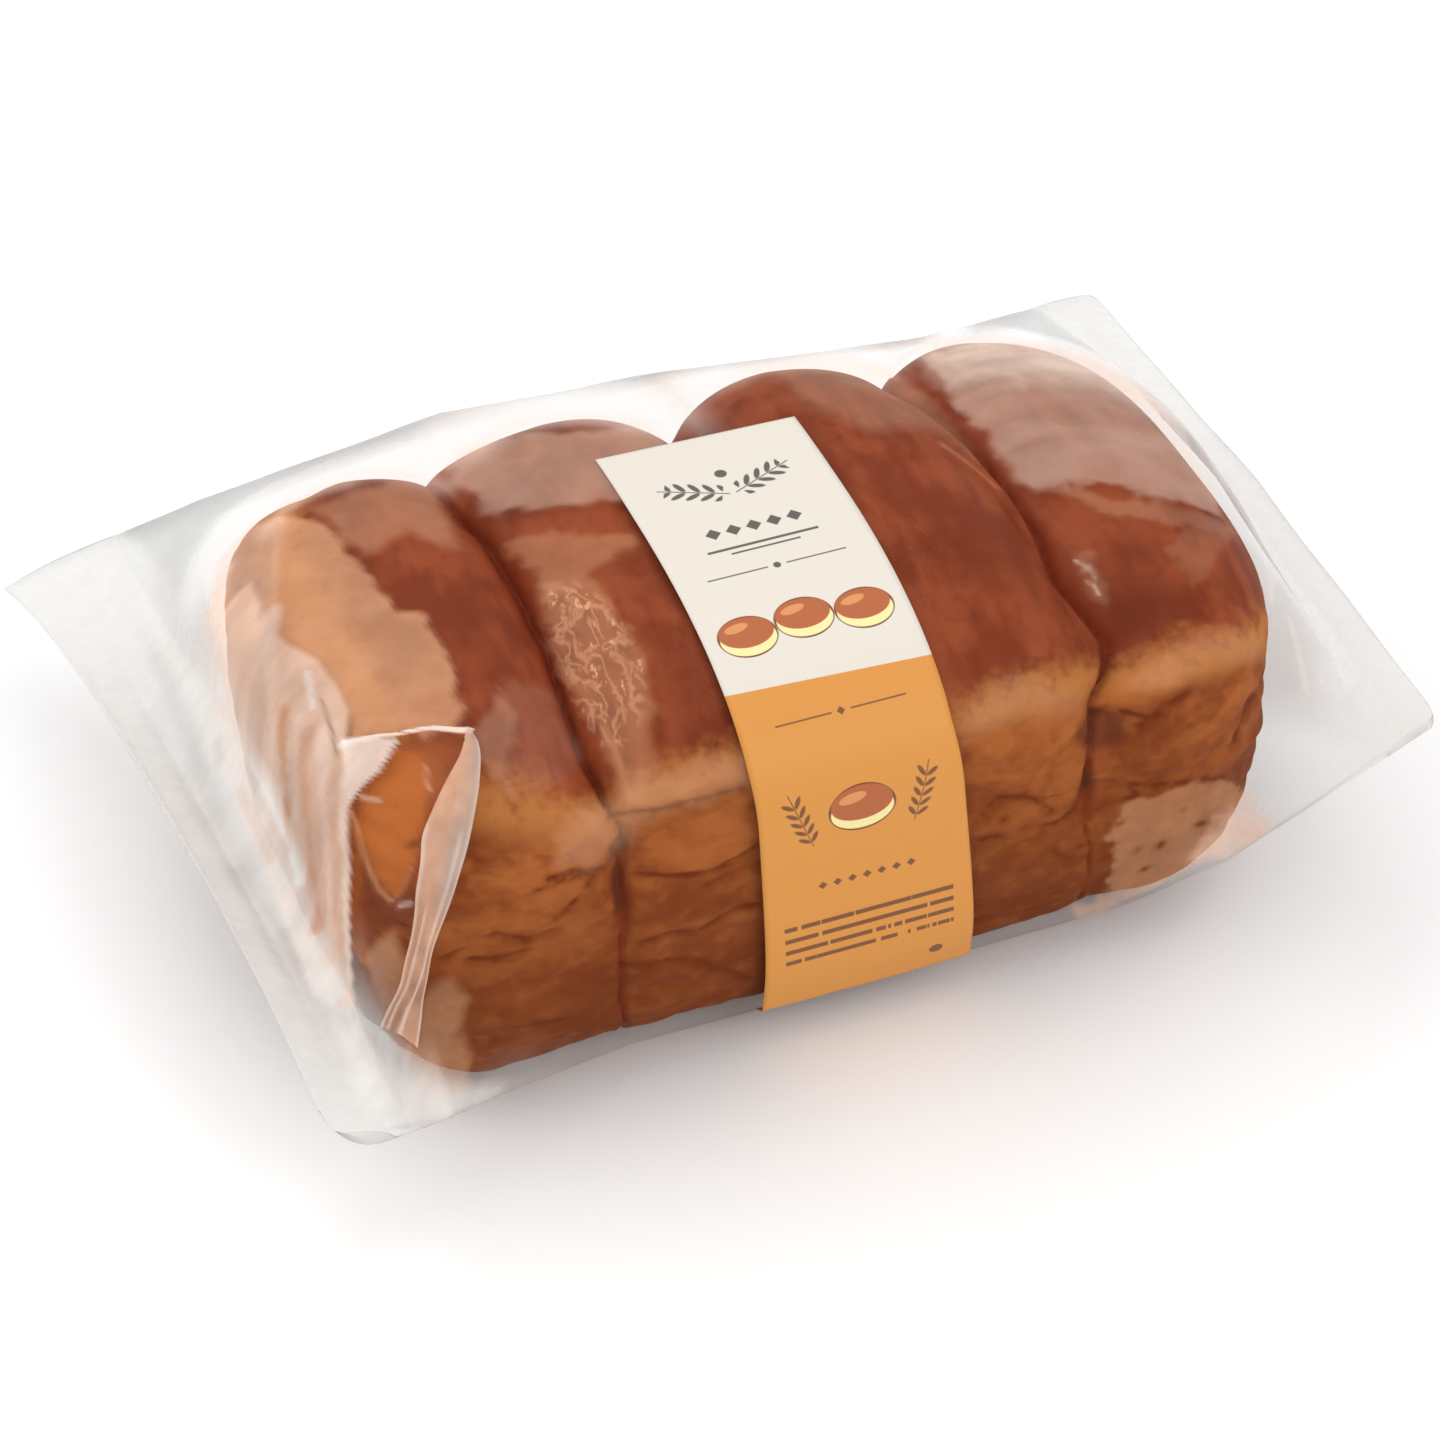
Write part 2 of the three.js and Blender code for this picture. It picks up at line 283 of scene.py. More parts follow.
# How the pale patches' outlines wander and fray, up to near the loaf's ends
VEIL_WARP = 1.3
VEIL_WARP_REACH = 12
VEIL_WARP_ENDS = (84, 92)
VEIL_RAGGED_REACH = 4
NO_VEIL = 1e-6

# Folds of the film over the loaf, each as points (x, length from the crown line)
RIDGE_FOLD = [(-96, -27.5), (-87, -32.6), (-80, -34.5), (-73, -38)]
PLEAT_FOLD = [(-73, -38), (-77, -45), (-81, -54), (-87, -62), (-91, -71), (-96, -77), (-101, -81)]
RIGHT_FOLD = [
    (60, -11.4), (66, -11.4), (70, -14.8), (76, -18.1), (83, -20.8), (87, -22.9), (93, -25.3), (97, -27.3),
]
RIGHT_CREASES = [
    [(112, -20), (99, -44)],
    [(103, -46), (100, -64)],
    [(111, -49), (106, -67)],
]
# Raised folds: path, height and reach
RAISED_FOLDS = [(RIDGE_FOLD, 1.4, 2.2), (PLEAT_FOLD, 0.8, 2.5), (RIGHT_FOLD, 0.6, 1.5)]
# Reach of the painted cream highlight along the ridge fold
RIDGE_HIGHLIGHT_REACH = 2
# Where folds and waves fade out, along X towards the flat ends and down towards the floor
RELIEF_ENDS = (106, 110)
RELIEF_HEIGHTS = (6, 14)
WAVE_HEIGHT = 0.3
WAVE_REACH = 20
FLUTTER_HEIGHT = 0.6
FLUTTER_REACH = (50, 30, 9)
# Outline of the crinkled patch on the second lobe, and its crinkles
CRINKLE_PATCH = [
    (-47, -7), (-40, -9), (-36.5, -18), (-35.5, -36), (-39, -46), (-45, -50), (-50, -46), (-51, -36),
    (-50, -24), (-49, -14),
]
CRINKLE_SOFT = (-0.8, 2)
CRINKLE_REACH = (3.4, 5, 9)
CRINKLE_BREADTH = 0.22
CRINKLE_SHARPNESS = 1.5
CRINKLE_HEIGHT = 0.35

# Pale patches of the film: painted reflections where it mirrors the light, and its milky film over the loaf's
# left end: outline (x, length), strength, soft edge, warmth
VEILS_AND_REFLECTIONS = [
    ([(-86, 42), (-82, 37), (-78, 24), (-78, 12), (-75, 1), (-71, -3), (-71, -14), (-71, -22), (-73, -29),
      (-74, -37), (-85, -33), (-94, -28), (-92.4, -20.8), (-92.4, -12.9), (-93.4, -4), (-96.8, 5.3),
      (-98.2, 12.9), (-93.3, 26.4)], 0.4, 1.2, 1.0),
    ([(-99, 46), (-90, 46), (-85, 40), (-92, 27), (-97, 14.5), (-100.3, 12), (-104, 22), (-105, 36)],
     0.42, 2.2, 0.75),
    ([(-80, 39), (-72, 40), (-60, 40), (-55, 35), (-55, 25), (-58, 14), (-66, 21), (-75, 19), (-78, 24)],
     0.2, 2.2, 0.9),
    ([(-62, -28), (-65, -31), (-71, -39), (-73.5, -44), (-72.5, -49), (-70, -54.5), (-69, -49), (-67, -43),
      (-64, -36)], 0.15, 1.2, 0.8),
    ([(-62, -28), (-54, -31), (-55, -47), (-60, -54), (-68, -54), (-69, -49), (-66, -38)], 0.05, 2, 0.5),
    ([(-46, -5), (-41, -8), (-37, -14), (-36, -32), (-37, -39), (-41, -55), (-46, -60), (-48.5, -50),
      (-50, -34), (-49.5, -24), (-48.5, -14)], 0.17, 1.6, 1.0),
    ([(-49, 44), (-41, 45), (-31, 42), (-21, 36), (-10, 33), (-8, 27), (-16, 12), (-24, 8), (-29, 9.5),
      (-36, 14), (-42, 19), (-48, 24)], 0.27, 1.6, 0.65),
    ([(-48, 12), (-45, 10.5), (-38, 5), (-32, -0.5), (-25, -3), (-26, -6), (-33, -8), (-45, -8)],
     0.16, 1.4, 1.0),
    ([(22, 46), (33, 43), (48, 38), (52, 25), (52, 3), (48, 12), (33, 12), (24, 24)], 0.14, 3.5, 0.8),
    ([(-65, -68.2), (-62.5, -62.7), (-55, -57.2), (-44.3, -56.5), (-32.8, -60.1), (-23, -61.3),
      (-22.4, -67.1), (-34.4, -66.6), (-46.3, -63.9), (-50.6, -66), (-58, -71.3)], 0.2, 3.2, 0.95),
    ([(22, -62), (34, -60), (47, -62), (47, -68), (34, -67), (22, -70)], 0.1, 3, 0.9),
    ([(59, -62), (66, -58), (78, -56), (92, -55), (92, -60), (78, -62), (66, -66)], 0.12, 3, 0.9),
    ([(58, 42), (75, 44), (100, 44), (102, 8), (100, -14), (96, -24), (83, -20), (76, -15), (71, -13.5),
      (60, -11.5), (58, 3), (58, 16)], 0.29, 1.3, 0.55),
    ([(60, 52), (58, 34), (76, 26), (92, 22), (104, 12), (110, 12), (110, 52)], 0.55, 7, 0.4),
    ([(62, -13), (68, -16), (72, -20), (77, -21.5), (82, -21), (94, -26), (98, -28), (95, -31), (87, -28),
      (78, -27), (69, -22)], 0.12, 1.2, 0.8),
    ([(78, -34), (81, -45), (95, -31), (87, -28)], 0.07, 1.2, 0.8),
    ([(59, -30), (62, -32), (62, -41), (60, -46), (58.5, -42)], 0.1, 1.2, 0.8),
    ([(80, -104), (84, -99), (90, -97), (90, -108), (80, -116), (74, -115)], 0.36, 2, 0.6),
    ([(-102.5, -62), (-97, -66), (-96, -75), (-98, -86), (-101, -88), (-103, -75)], 0.25, 1.2, 1.0),
    ([(-94, -82), (-89, -83), (-86.6, -89), (-89.5, -95), (-87, -102), (-91, -106), (-98, -97),
      (-101, -86)], 0.2, 1.8, 0.95),
    ([(-97, 28), (-98.2, 12.9), (-96.8, 5.3), (-93.4, -4), (-92.4, -12.9), (-92.4, -20.8), (-94.5, -26.3),
      (-95.5, -30), (-98.4, -37.5), (-100.7, -44.5), (-102.3, -50.9), (-104.1, -56), (-107, -60),
      (-112, -50), (-111, -20), (-111, 10), (-109, 24), (-103, 30)], 0.6, 0.9, 0.62),
    ([(-95.5, -26.5), (-86.6, -33.7), (-87.4, -34.6), (-91.9, -37.5), (-95.7, -37.8), (-98.8, -38.5),
      (-97.5, -33)], 0.78, 0.5, 0.35),
    ([(-104.8, -56), (-104.4, -64.7), (-103.9, -72), (-102.8, -80), (-100.4, -88.3), (-97.1, -95.7),
      (-92.8, -102), (-86.5, -108), (-81, -111), (-84, -118), (-96, -112), (-108, -96), (-113, -70)],
     0.4, 2, 0.1),
]
# Ragged patch where the film clings to the fourth lobe's foot, and its bare spots: centre, radii, strength
CONTACT_PATCH = [
    (54.5, -91.5), (58.1, -90.1), (65.6, -92.1), (74.9, -91.4), (89, -91.5), (90, -100), (85, -109),
    (78, -114), (70, -119), (60, -122), (49, -126), (50, -118), (57.5, -113), (56.4, -104.8),
]
CONTACT_HAZE = 0.24
CONTACT_RAGGED = 2.4
CONTACT_RAGGED_REACH = 5
CONTACT_SOFT = (-1.1, 1.1)
CONTACT_HOLES = [
    ((57.2, -94), (1.1, 0.9), 1),
    ((63.9, -112.3), (1.2, 0.9), 1),
    ((66.8, -106.4), (1.2, 1.3), 1),
    ((76, -103.1), (1.7, 0.9), 1),
    ((61.5, -105), (0.8, 1), 0.7),
    ((71, -98), (0.8, 0.7), 0.6),
]
# Painted highlights along the film's folds, creases and edges: path, strength, width, warmth
FOLD_HIGHLIGHTS = [
    ([(-90, 39), (-84, 44), (-77, 45.5), (-71, 44)], 0.34, 2.6, 0.6),
    ([(-98.6, -39.9), (-98.6, -43.7), (-98.7, -48.1), (-98.3, -52.7), (-97.7, -56.7), (-96.3, -60.9)],
     0.26, 0.35, 1.0),
    ([(-96.3, -60.9), (-94.4, -61.3), (-93, -59.9), (-91.5, -57.5)], 0.16, 0.35, 0.9),
    ([(-96.3, -39.3), (-95.2, -41), (-93.7, -42.8)], 0.4, 0.4, 0.5),
    ([(-84, -41.7), (-84.3, -44.4), (-84.6, -46.5)], 0.3, 0.35, 0.7),
    ([(-95.2, -63), (-93.1, -64.5)], 0.45, 0.4, 0.4),
    ([(-99.3, 39.1), (-101.2, 37.4), (-103.8, 32), (-106, 28.4), (-107.4, 27.2), (-109.9, 20.5)],
     0.6, 1.7, 0.4),
    ([(-79.1, 52.8), (-68.8, 50.3), (-59.7, 44.4), (-52.9, 38.2)], 0.3, 4, 0.4),
    ([(-44.3, 43.6), (-31.7, 48.2), (-19.9, 43.7), (-10.3, 33.5)], 0.35, 4, 0.4),
    ([(5.9, 40.8), (22, 47.1), (34.4, 43.7), (45.3, 36.5)], 0.2, 4, 0.5),
    ([(46.5, 7), (50.5, 0), (53, -6)], 0.16, 0.7, 0.9),
    ([(59.2, -32.5), (59.9, -34), (59.8, -36)], 0.34, 0.35, 0.5),
    ([(60.8, -35), (61.3, -37), (61, -38.6)], 0.26, 0.35, 0.6),
    ([(59.4, -38.4), (60.2, -40), (60.1, -42)], 0.3, 0.35, 0.6),
    *((line, 0.3, 0.7, 0.2) for line in RIGHT_CREASES),
]
# Dark lines: path, strength and width
SHADE_LINES = [
    ([(-96, -13.9), (-96.3, -19.9), (-97.1, -28.7)], 0.75, 0.5),
    ([(-94.2, 25.5), (-96.6, 20.9), (-98.6, 17.1)], 0.35, 0.7),
    ([(-109.7, 18.2), (-110.7, 13.4)], 0.2, 1.2),
    ([(-47.5, -44), (-47.2, -50), (-47.4, -59)], 0.3, 0.5),
]
# Bands of the film over the loaf's left end, milky bands and painted highlights laid one over another: path
# as (y, height), milkiness, share, width and warmth
END_BANDS = [
    ([(60, 42), (26, 40), (0, 38), (-20, 32), (-45, 26), (-70, 20)], 0.88, 0.85, 15, 0.05),
    ([(16, 80), (8, 77.5), (1.5, 75), (-6, 70), (-11, 63), (-13, 56)], 0.66, 0.8, 1.7, 0.5),
    ([(-8, 74), (-12, 70), (-15.2, 65.7), (-18, 56), (-20, 50)], 0.45, 0.8, 1.8, 0.95),
    ([(-13, 76), (-19, 70), (-23, 62), (-26, 52), (-28, 47)], 0.68, 0.7, 1.4, 0.45),
    ([(-18, 76), (-22, 71), (-26.5, 66.6), (-31.5, 52), (-37, 43)], 0.52, 0.8, 1.7, 0.8),
    ([(-21, 78), (-27, 74), (-32.2, 70.5), (-39, 57), (-45, 42)], 0.74, 0.8, 2.0, 0.5),
    ([(-29, 76), (-37, 66), (-43, 53), (-48, 42)], 0.58, 0.6, 1.2, 0.75),
    ([(-32, 77), (-36.2, 72.7), (-42.8, 63.2), (-47.8, 52.3), (-54.8, 37.9)], 0.82, 0.85, 1.2, 0.4),
    ([(24, 57), (16.5, 57), (5, 55.6), (-7, 53.2), (-18.7, 50.4), (-26, 46.5)], 0.96, 0.9, 1.9, 0.0),
    ([(2, 48), (-7, 46.2), (-16.4, 44.4)], 0.6, 0.5, 1.2, 0.7),
    ([(-5, 80.4), (-9.7, 79.7), (-14, 78.7)], 0.75, 0.8, 0.6, 0.2),
]
BAND_STARTS = (-113, -109)
BAND_STOPS = (-96, -93)
BAND_POWER = 4
BAND_WARP = 0.6
BAND_WARP_REACH = 16

# Folded pleat of film from the corner of the first lobe to the seal: its two edges as (x, length)
PLEAT = np.array([
    ((-73.6, -37.3), (-73.3, -37.4)),
    ((-76.5, -42.2), (-72.5, -41.5)),
    ((-81.1, -46.4), (-74.4, -47.4)),
    ((-86.5, -52), (-78.5, -55.2)),
    ((-88.8, -54.8), (-81.5, -60.6)),
    ((-89.7, -58.2), (-84.1, -64.4)),
    ((-91.7, -62.9), (-86.9, -69.7)),
    ((-92.6, -66.6), (-89.5, -73.2)),
    ((-94.3, -70.7), (-91.4, -75.8)),
    ((-96.1, -73.1), (-93.4, -80.1)),
    ((-98.1, -76.2), (-94.8, -82.1)),
    ((-101.3, -75.6), (-96.1, -85.2)),
    ((-103, -74.6), (-98.1, -88)),
], float)
PLEAT_ROUNDS = 3
PLEAT_COLUMNS = 25
PLEAT_LIFT = 0.5
PLEAT_THICKNESS = 0.25
# Milkiness of the pleat: how it thins out along it, frays, begins, and opens near its end
PLEAT_HAZE = 0.44
PLEAT_THINNING = 0.35
PLEAT_THIN_ALONG = (0.45, 0.75)
PLEAT_RAGGED = 0.12
PLEAT_RAGGED_REACH = (3, 3, 12)
PLEAT_START = 0.05
PLEAT_OPENNESS = 0.8
PLEAT_OPEN_ALONG = (0.78, 0.92)
PLEAT_OPEN_ACROSS = (0.45, 0.6)
# The greyer, more shaded part of its upper half, with warmth and shade outside and inside it
PLEAT_GREY_ALONG = (0.45, 0.6)
PLEAT_GREY_ACROSS = (0.5, 0.72)
PLEAT_WARMTHS = (0.75, 0.45)
PLEAT_SHADES = (0.08, 0.25)
# Bright strands of the pleat, painted highlights along its folds: path as (share of its length, share across
# it), strength and half width across
PLEAT_STRANDS = [
    ([(0.02, 0.97), (1, 0.98)], 0.42, 0.05),
    ([(0.33, 0.8), (0.57, 0.77), (0.72, 0.74), (0.87, 0.52), (1, 0.5)], 0.5, 0.05),
    ([(0.3, 0.03), (1, 0.03)], 0.42, 0.06),
    ([(0.55, 0.4), (0.7, 0.36), (0.85, 0.24), (1, 0.22)], 0.4, 0.05),
]
STRAND_RISE = 0.9
STRAND_COOLING = 0.5
STRAND_FADE_IN = 0.03
STRAND_FADE_OUT = 0.05

# Label
LABEL_TOP_EDGES = (-24, 19.5)
LABEL_BOTTOM_EDGES = (-20, 27)
LABEL_TURN_HEIGHT = 75
LABEL_TOP_Y = (23.2, 21.6)
LABEL_BOTTOM_Z = 7.5
LABEL_GAP = 0.45
LABEL_THICKNESS = 0.2
LABEL_COLUMNS = 36
LABEL_ROWS = 220

# Camera: where it stands round the pack, how far off, and what it looks at
CAMERA_AZIMUTH = -21.79
CAMERA_ELEVATION = 40.24
CAMERA_DISTANCE = 1051.64
CAMERA_LENS = 125
CAMERA_SENSOR = 36
CAMERA_TARGET = (-5.76, 0, 35.69)

# Stage, in metres, and its lights: name, place, size and power
FLOOR_REACH = 3.0
FLOOR_Z = -0.3 * MM
WORLD_STRENGTH = 0.75
LIGHTS = [
    ("key", (-0.9, 0.8, 1.1), (1.6, 1.2), 9),
    ("fill", (0.7, -1.3, 1.0), (1.2, 1.0), 8),
    ("overhead", (0.1, 0.1, 1.5), (1.0, 1.0), 4),
]
LIGHT_AIM = (0, 0, 0.05)


def clamp01(v):
    return np.clip(v, 0.0, 1.0)


def lerp(a, b, t):
    return a + (b - a) * t


def smooth(v, low, high):
    u = clamp01((v - low) / (high - low))
    return u * u * (3 - 2 * u)


def signed_power(v, power):
    return np.sign(v) * np.abs(v) ** power


def lattice(cell, seed):
    """Repeatable values from -1 to 1 at whole-number points (n, 3)."""
    mixed = sum(cell[..., k] * factor for k, factor in enumerate(HASH_FACTORS)) + seed * HASH_SEED_FACTOR
    mixed = mixed & HASH_MASK
    for shift, factor in HASH_ROUNDS:
        mixed = ((mixed ^ (mixed >> shift)) * factor) & HASH_MASK
    return ((mixed ^ (mixed >> 16)) & 0xFFFF) / 32767.5 - 1


def noise(points, reach, seed=0):
    """Smooth noise from about -1 to 1, with bumps about as wide as reach."""
    p = np.asarray(points, float) / reach + NOISE_OFFSET
    cell = np.floor(p).astype(np.int64)
    f = p - cell
    w = f * f * f * (f * (f * 6 - 15) + 10)
    total = np.zeros(p.shape[:-1])
    for corner in np.ndindex(2, 2, 2):
        at = cell + np.array(corner)
        away = f - np.array(corner)
        slope = sum(lattice(at, SEED + seed * 3 + k) * away[..., k] for k in range(3))
        share = np.prod(np.where(np.array(corner) == 1, w, 1 - w), axis=-1)
        total += slope * share
    return total * NOISE_GAIN


def rough(points, reach, octaves, seed=0):
    """Noise with finer and weaker layers added."""
    total = 0
    for k in range(octaves):
        total = total + noise(points, np.array(reach) / 2 ** k, seed + LAYER_SEED_STEP * k) / 2 ** k
    return total


def grid_normals(points, closed):
    """Unit normals (rows, columns, 3) of a grid of points, pointing out of a counterclockwise ring."""
    along = np.gradient(points, axis=0)
    if closed:
        across = np.roll(points, -1, 1) - np.roll(points, 1, 1)
    else:
        across = np.gradient(points, axis=1)
    n = np.cross(across, along)
    return n / (np.linalg.norm(n, axis=-1, keepdims=True) + LENGTH_GUARD)


# Sections of the loaf and of the film round it

def end_scale(x):
    """How much of the full section is left at x, from 1 along the body to 0 at the loaf's end."""
    end = LOAF_ENDS["left" if x < 0 else "right"]
    v = clamp01((abs(x) - end["reach"] + end["rounding"]) / end["rounding"])
    return (1 - v ** end["power"]) ** (1 / end["power"])


def full_section(x, gap, count):
    """Unscaled outline (count, 2) of y, z round the loaf at x, counterclockwise."""
    angle = np.linspace(0, 2 * np.pi, count, endpoint=False)
    c, s = np.cos(angle), np.sin(angle)
    top_power = np.where(c < 0, FRONT_TOP_POWER, BACK_TOP_POWER)
    power = 2 / np.where(s >= 0, top_power, BASE_POWER)
    drop = END_LOBE_DROP * clamp01((abs(x) - LOBE_PITCH / 2) / LOBE_PITCH)
    reach = np.where(s >= 0, LOAF_HEIGHT - drop - SHOULDER_HEIGHT, SHOULDER_HEIGHT) + gap
    y = (np.where(c < 0, LOAF_FRONT, LOAF_BACK) + gap) * signed_power(c, power)
    z = SHOULDER_HEIGHT + reach * signed_power(s, power)
    return np.stack([y, z], -1)


def film_dip(x, z):
    """How far the film dips in over the nearest outer joint at x and heights z."""
    nearest = min(abs(x - place) for place in DIP_PLACES)
    u = clamp01(1 - nearest / (LOBE_PITCH / 2))
    low, high = DIP_HEIGHTS
    rise = clamp01((z - low) / (high - low))
    return FILM_DIP * u ** DIP_POWER * lerp(DIP_SIDE_SHARE, 1, rise)


def film_outline(x):
    """Outline of the film round the loaf at x, before it is drawn to the folds."""
    outline = full_section(x, FILM_GAP, FILM_SAMPLES)
    away = outline - END_CENTRE
    dip = film_dip(x, outline[:, 1]) / np.hypot(*away.T)
    return END_CENTRE + away * (end_scale(x) * (1 - dip))[:, None]


def fold_at(fold, x):
    """y, z of a fold at x."""
    return np.array([np.interp(x, fold[:, 0], fold[:, 1]), np.interp(x, fold[:, 0], fold[:, 2])])


def half_hull(points):
    """The lower hull of y, z points that are sorted by y, without its last point."""
    out = []
    for p in points:
        while len(out) > 1:
            (ay, az), (by, bz) = out[-2], out[-1]
            if (by - ay) * (p[1] - az) - (bz - az) * (p[0] - ay) > HULL_GUARD:
                break
            out.pop()
        out.append(p)
    return out[:-1]


def convex_hull(points):
    """Counterclockwise convex hull of y, z points."""
    ordered = sorted(map(tuple, points))
    return np.array(half_hull(ordered) + half_hull(ordered[::-1]))


def nearest_index(hull, point):
    return int(np.argmin(np.hypot(*(hull - point).T)))


def hull_run(hull, start, end):
    """The hull's points from one index to another, counterclockwise, both included."""
    count = (end - start) % len(hull)
    return hull[(start + np.arange(count + 1)) % len(hull)]


def run_lengths(run, density=1):
    """Length of a line of points up to each of them, stretched where the density is above 1."""
    return np.r_[0, np.cumsum(np.hypot(*np.diff(run, axis=0).T) * density)]


def points_at(run, lengths, places):
    return np.stack([np.interp(places, lengths, run[:, k]) for k in range(2)], -1)


def steps_along(count, crowding):
    """Shares of a sheet's length, from 0 up to but not 1, closer together towards its end."""
    t = np.arange(count) / count
    return t * (1 + crowding * (1 - t))


def sheet_points(run, shares):
    """One film sheet as points at shares of its length, its last one left to the next sheet."""
    lengths = run_lengths(run)
    return points_at(run, lengths, lengths[-1] * shares)


def bag_section(outline, front, back):
    """Section of the bag: under sheet from the front fold to the back fold, then the top sheet back."""
    hull = convex_hull(np.vstack([outline, front, back]))
    i, j = nearest_index(hull, front), nearest_index(hull, back)
    under = sheet_points(hull_run(hull, i, j), steps_along(UNDER_STEPS, 0))
    top = sheet_points(hull_run(hull, j, i), steps_along(TOP_STEPS, TOP_CROWDING))
    return np.vstack([under, top])


def body_ring(x):
    ring = bag_section(film_outline(x), fold_at(FRONT_FOLD, x), fold_at(BACK_FOLD, x))
    return np.column_stack([np.full(len(ring), x), ring[:, 0], np.maximum(0, ring[:, 1])])


def corner_share(place, zone):
    """How far a rounded corner has cut in at a place from -1 to 1 along the seal's edge."""
    q = clamp01((np.abs(place) - 1 + zone) / zone)
    return 1 - np.sqrt(1 - q * q)


def fold_end(fold, seal, radius):
    """A fold's corner of the seal, where it leaves the loaf, and the share cut off the corner."""
    corner = fold[seal["corner"]]
    start = fold_at(fold, seal["touch"])
    return corner, start, radius / math.dist(corner, (seal["touch"], *start))


def end_outline(touch, edge_x, t, left, middle, arch):
    """Outline of the film's end at t, narrowed to the seal, and round the loaf as far as that reaches."""
    outline = film_outline(touch)
    y = lerp(middle[0], outline[:, 0], left)
    z = lerp(middle[1] + arch(y), outline[:, 1], left) - arch(y)
    loaf_x = lerp(touch, edge_x, t)
    if end_scale(loaf_x) > 0:
        held = film_outline(loaf_x)
        y = np.r_[y, held[:, 0]]
        z = np.r_[z, held[:, 1] - arch(held[:, 0])]
    return np.stack([y, z], -1)


def seal_ring(side, t):
    """Ring of the bag's end: t goes from 0, where the film leaves the loaf, to 1 at the seal's edge."""
    seal = SEALS[side]
    touch = seal["touch"]
    front, front_start, front_cut = fold_end(FRONT_FOLD, seal, seal["front_radius"])
    back, back_start, back_cut = fold_end(BACK_FOLD, seal, seal["back_radius"])
    middle = (front[1:] + back[1:]) / 2
    half = (back[1] - front[1]) / 2

    def arch(y):
        return t * t * seal["arch"] * (1 - np.minimum(1, np.abs(y - middle[0]) / half) ** ARCH_POWER)

    left = 1 - clamp01(t / SEAL_START)
    outline = end_outline(touch, front[0], t, left, middle, arch)
    front_point = lerp(front_start, front[1:], t - front_cut * t * t)
    back_point = lerp(back_start, back[1:], t - back_cut * t * t)
    y, z = bag_section(outline, front_point, back_point).T
    start, end = y[0], y[UNDER_STEPS]
    thick = (1 - left) * SEAL_THICKNESS / 2
    taper = clamp01(np.minimum(y - start, end - y) / SEAL_EDGE_TAPER)
    lift = np.where(np.arange(len(y)) < UNDER_STEPS, -thick, thick) * taper
    place = 2 * (y - start) / (end - start) - 1
    cut = np.where(place < 0, front_cut, back_cut)
    radius = np.where(place < 0, seal["front_radius"], seal["back_radius"])
    local = t - cut * t * t * corner_share(place, radius / half)
    seal_x = lerp(front[0], back[0], (y - front[1]) / (2 * half))
    return np.column_stack([lerp(touch, seal_x, local), y, np.maximum(0, z + arch(y) + lift)])


def film_grid():
    """The film as rings (stations, points, 3) from the left seal's edge to the right one's."""
    ends = np.linspace(1, 0, SEAL_STATIONS, endpoint=False)
    left = [seal_ring("left", t) for t in ends]
    body = [body_ring(x) for x in np.linspace(-TOUCH_X, TOUCH_X, BODY_STATIONS)]
    right = [seal_ring("right", t) for t in ends[::-1]]
    return np.array(left + body + right)


def crown_lengths(rings, first):
    """Length along each ring from the crown line, where y passes 0 after the ring's point number first."""
    closed = np.concatenate([rings, rings[:, :1]], 1)
    steps = np.linalg.norm(np.diff(closed, axis=1), axis=-1)
    lengths = np.concatenate([np.zeros((len(rings), 1)), steps.cumsum(1)[:, :-1]], 1)
    away = np.empty_like(lengths)
    for row, ring in enumerate(rings):
        k = first + int(np.argmax(ring[first:, 1] < 0))
        before, after = ring[k - 1, 1], ring[k, 1]
        away[row] = lerp(lengths[row, k - 1], lengths[row, k], before / (before - after)) - lengths[row]
    return away


# Distances from lines and outlines, and soft marks made from them; x and s are any two coordinates

def line_distance(x, s, path):
    """Distance of points to a line through a few (x, s) points."""
    best = np.full(np.shape(x), np.inf)
    for (ax, a), (bx, b) in zip(path[:-1], path[1:]):
        dx, ds = bx - ax, b - a
        t = clamp01(((x - ax) * dx + (s - a) * ds) / (dx * dx + ds * ds))
        best = np.minimum(best, np.hypot(x - ax - t * dx, s - a - t * ds))
    return best


def inside_depth(x, s, outline):
    """Distance of points to an outline, positive inside it and negative outside."""
    closed = [*outline, outline[0]]
    crossings = np.zeros(np.shape(x), int)
    for (ax, a), (bx, b) in zip(closed[:-1], closed[1:]):
        if a != b:
            spans = (s >= min(a, b)) & (s < max(a, b))
            crossings += spans & (x < ax + (s - a) / (b - a) * (bx - ax))
    return np.where(crossings % 2 == 1, 1, -1) * line_distance(x, s, closed)


def inside_share(x, s, outline, soft, ragged=0):
    """1 inside an outline, fading over the two depths of its soft edge."""
    return smooth(inside_depth(x, s, outline) + ragged, *soft)


def line_cover(x, s, path, width, power=2):
    """1 on a line, falling off over its width."""
    return np.exp(-(line_distance(x, s, path) / width) ** power)


def spot_strength(x, s, spots):
    """Soft spots at centres (x, length), each with its radii and strength."""
    total = np.zeros(x.shape)
    for (cx, cs), (rx, rs), strength in spots:
        total = np.maximum(total, strength * np.exp(-((x - cx) / rx) ** 2 - ((s - cs) / rs) ** 2))
    return total


def rounded(points, rounds):
    """A line through points with its corners cut smooth."""
    for _ in range(rounds):
        near = lerp(points[:-1], points[1:], 0.25)
        far = lerp(points[:-1], points[1:], 0.75)
        inner = np.stack([near, far], 1).reshape(-1, points.shape[1])
        points = np.vstack([points[:1], inner, points[-1:]])
    return points


# Meshes

def grid_faces(rows, columns):
    """Quads between rings of points that close on themselves."""
    i = np.arange(rows - 1)[:, None] * columns
    j = np.arange(columns)[None, :]
    k = (j + 1) % columns
    return np.stack([i + j, i + k, i + columns + k, i + columns + j], -1).reshape(-1, 4).tolist()


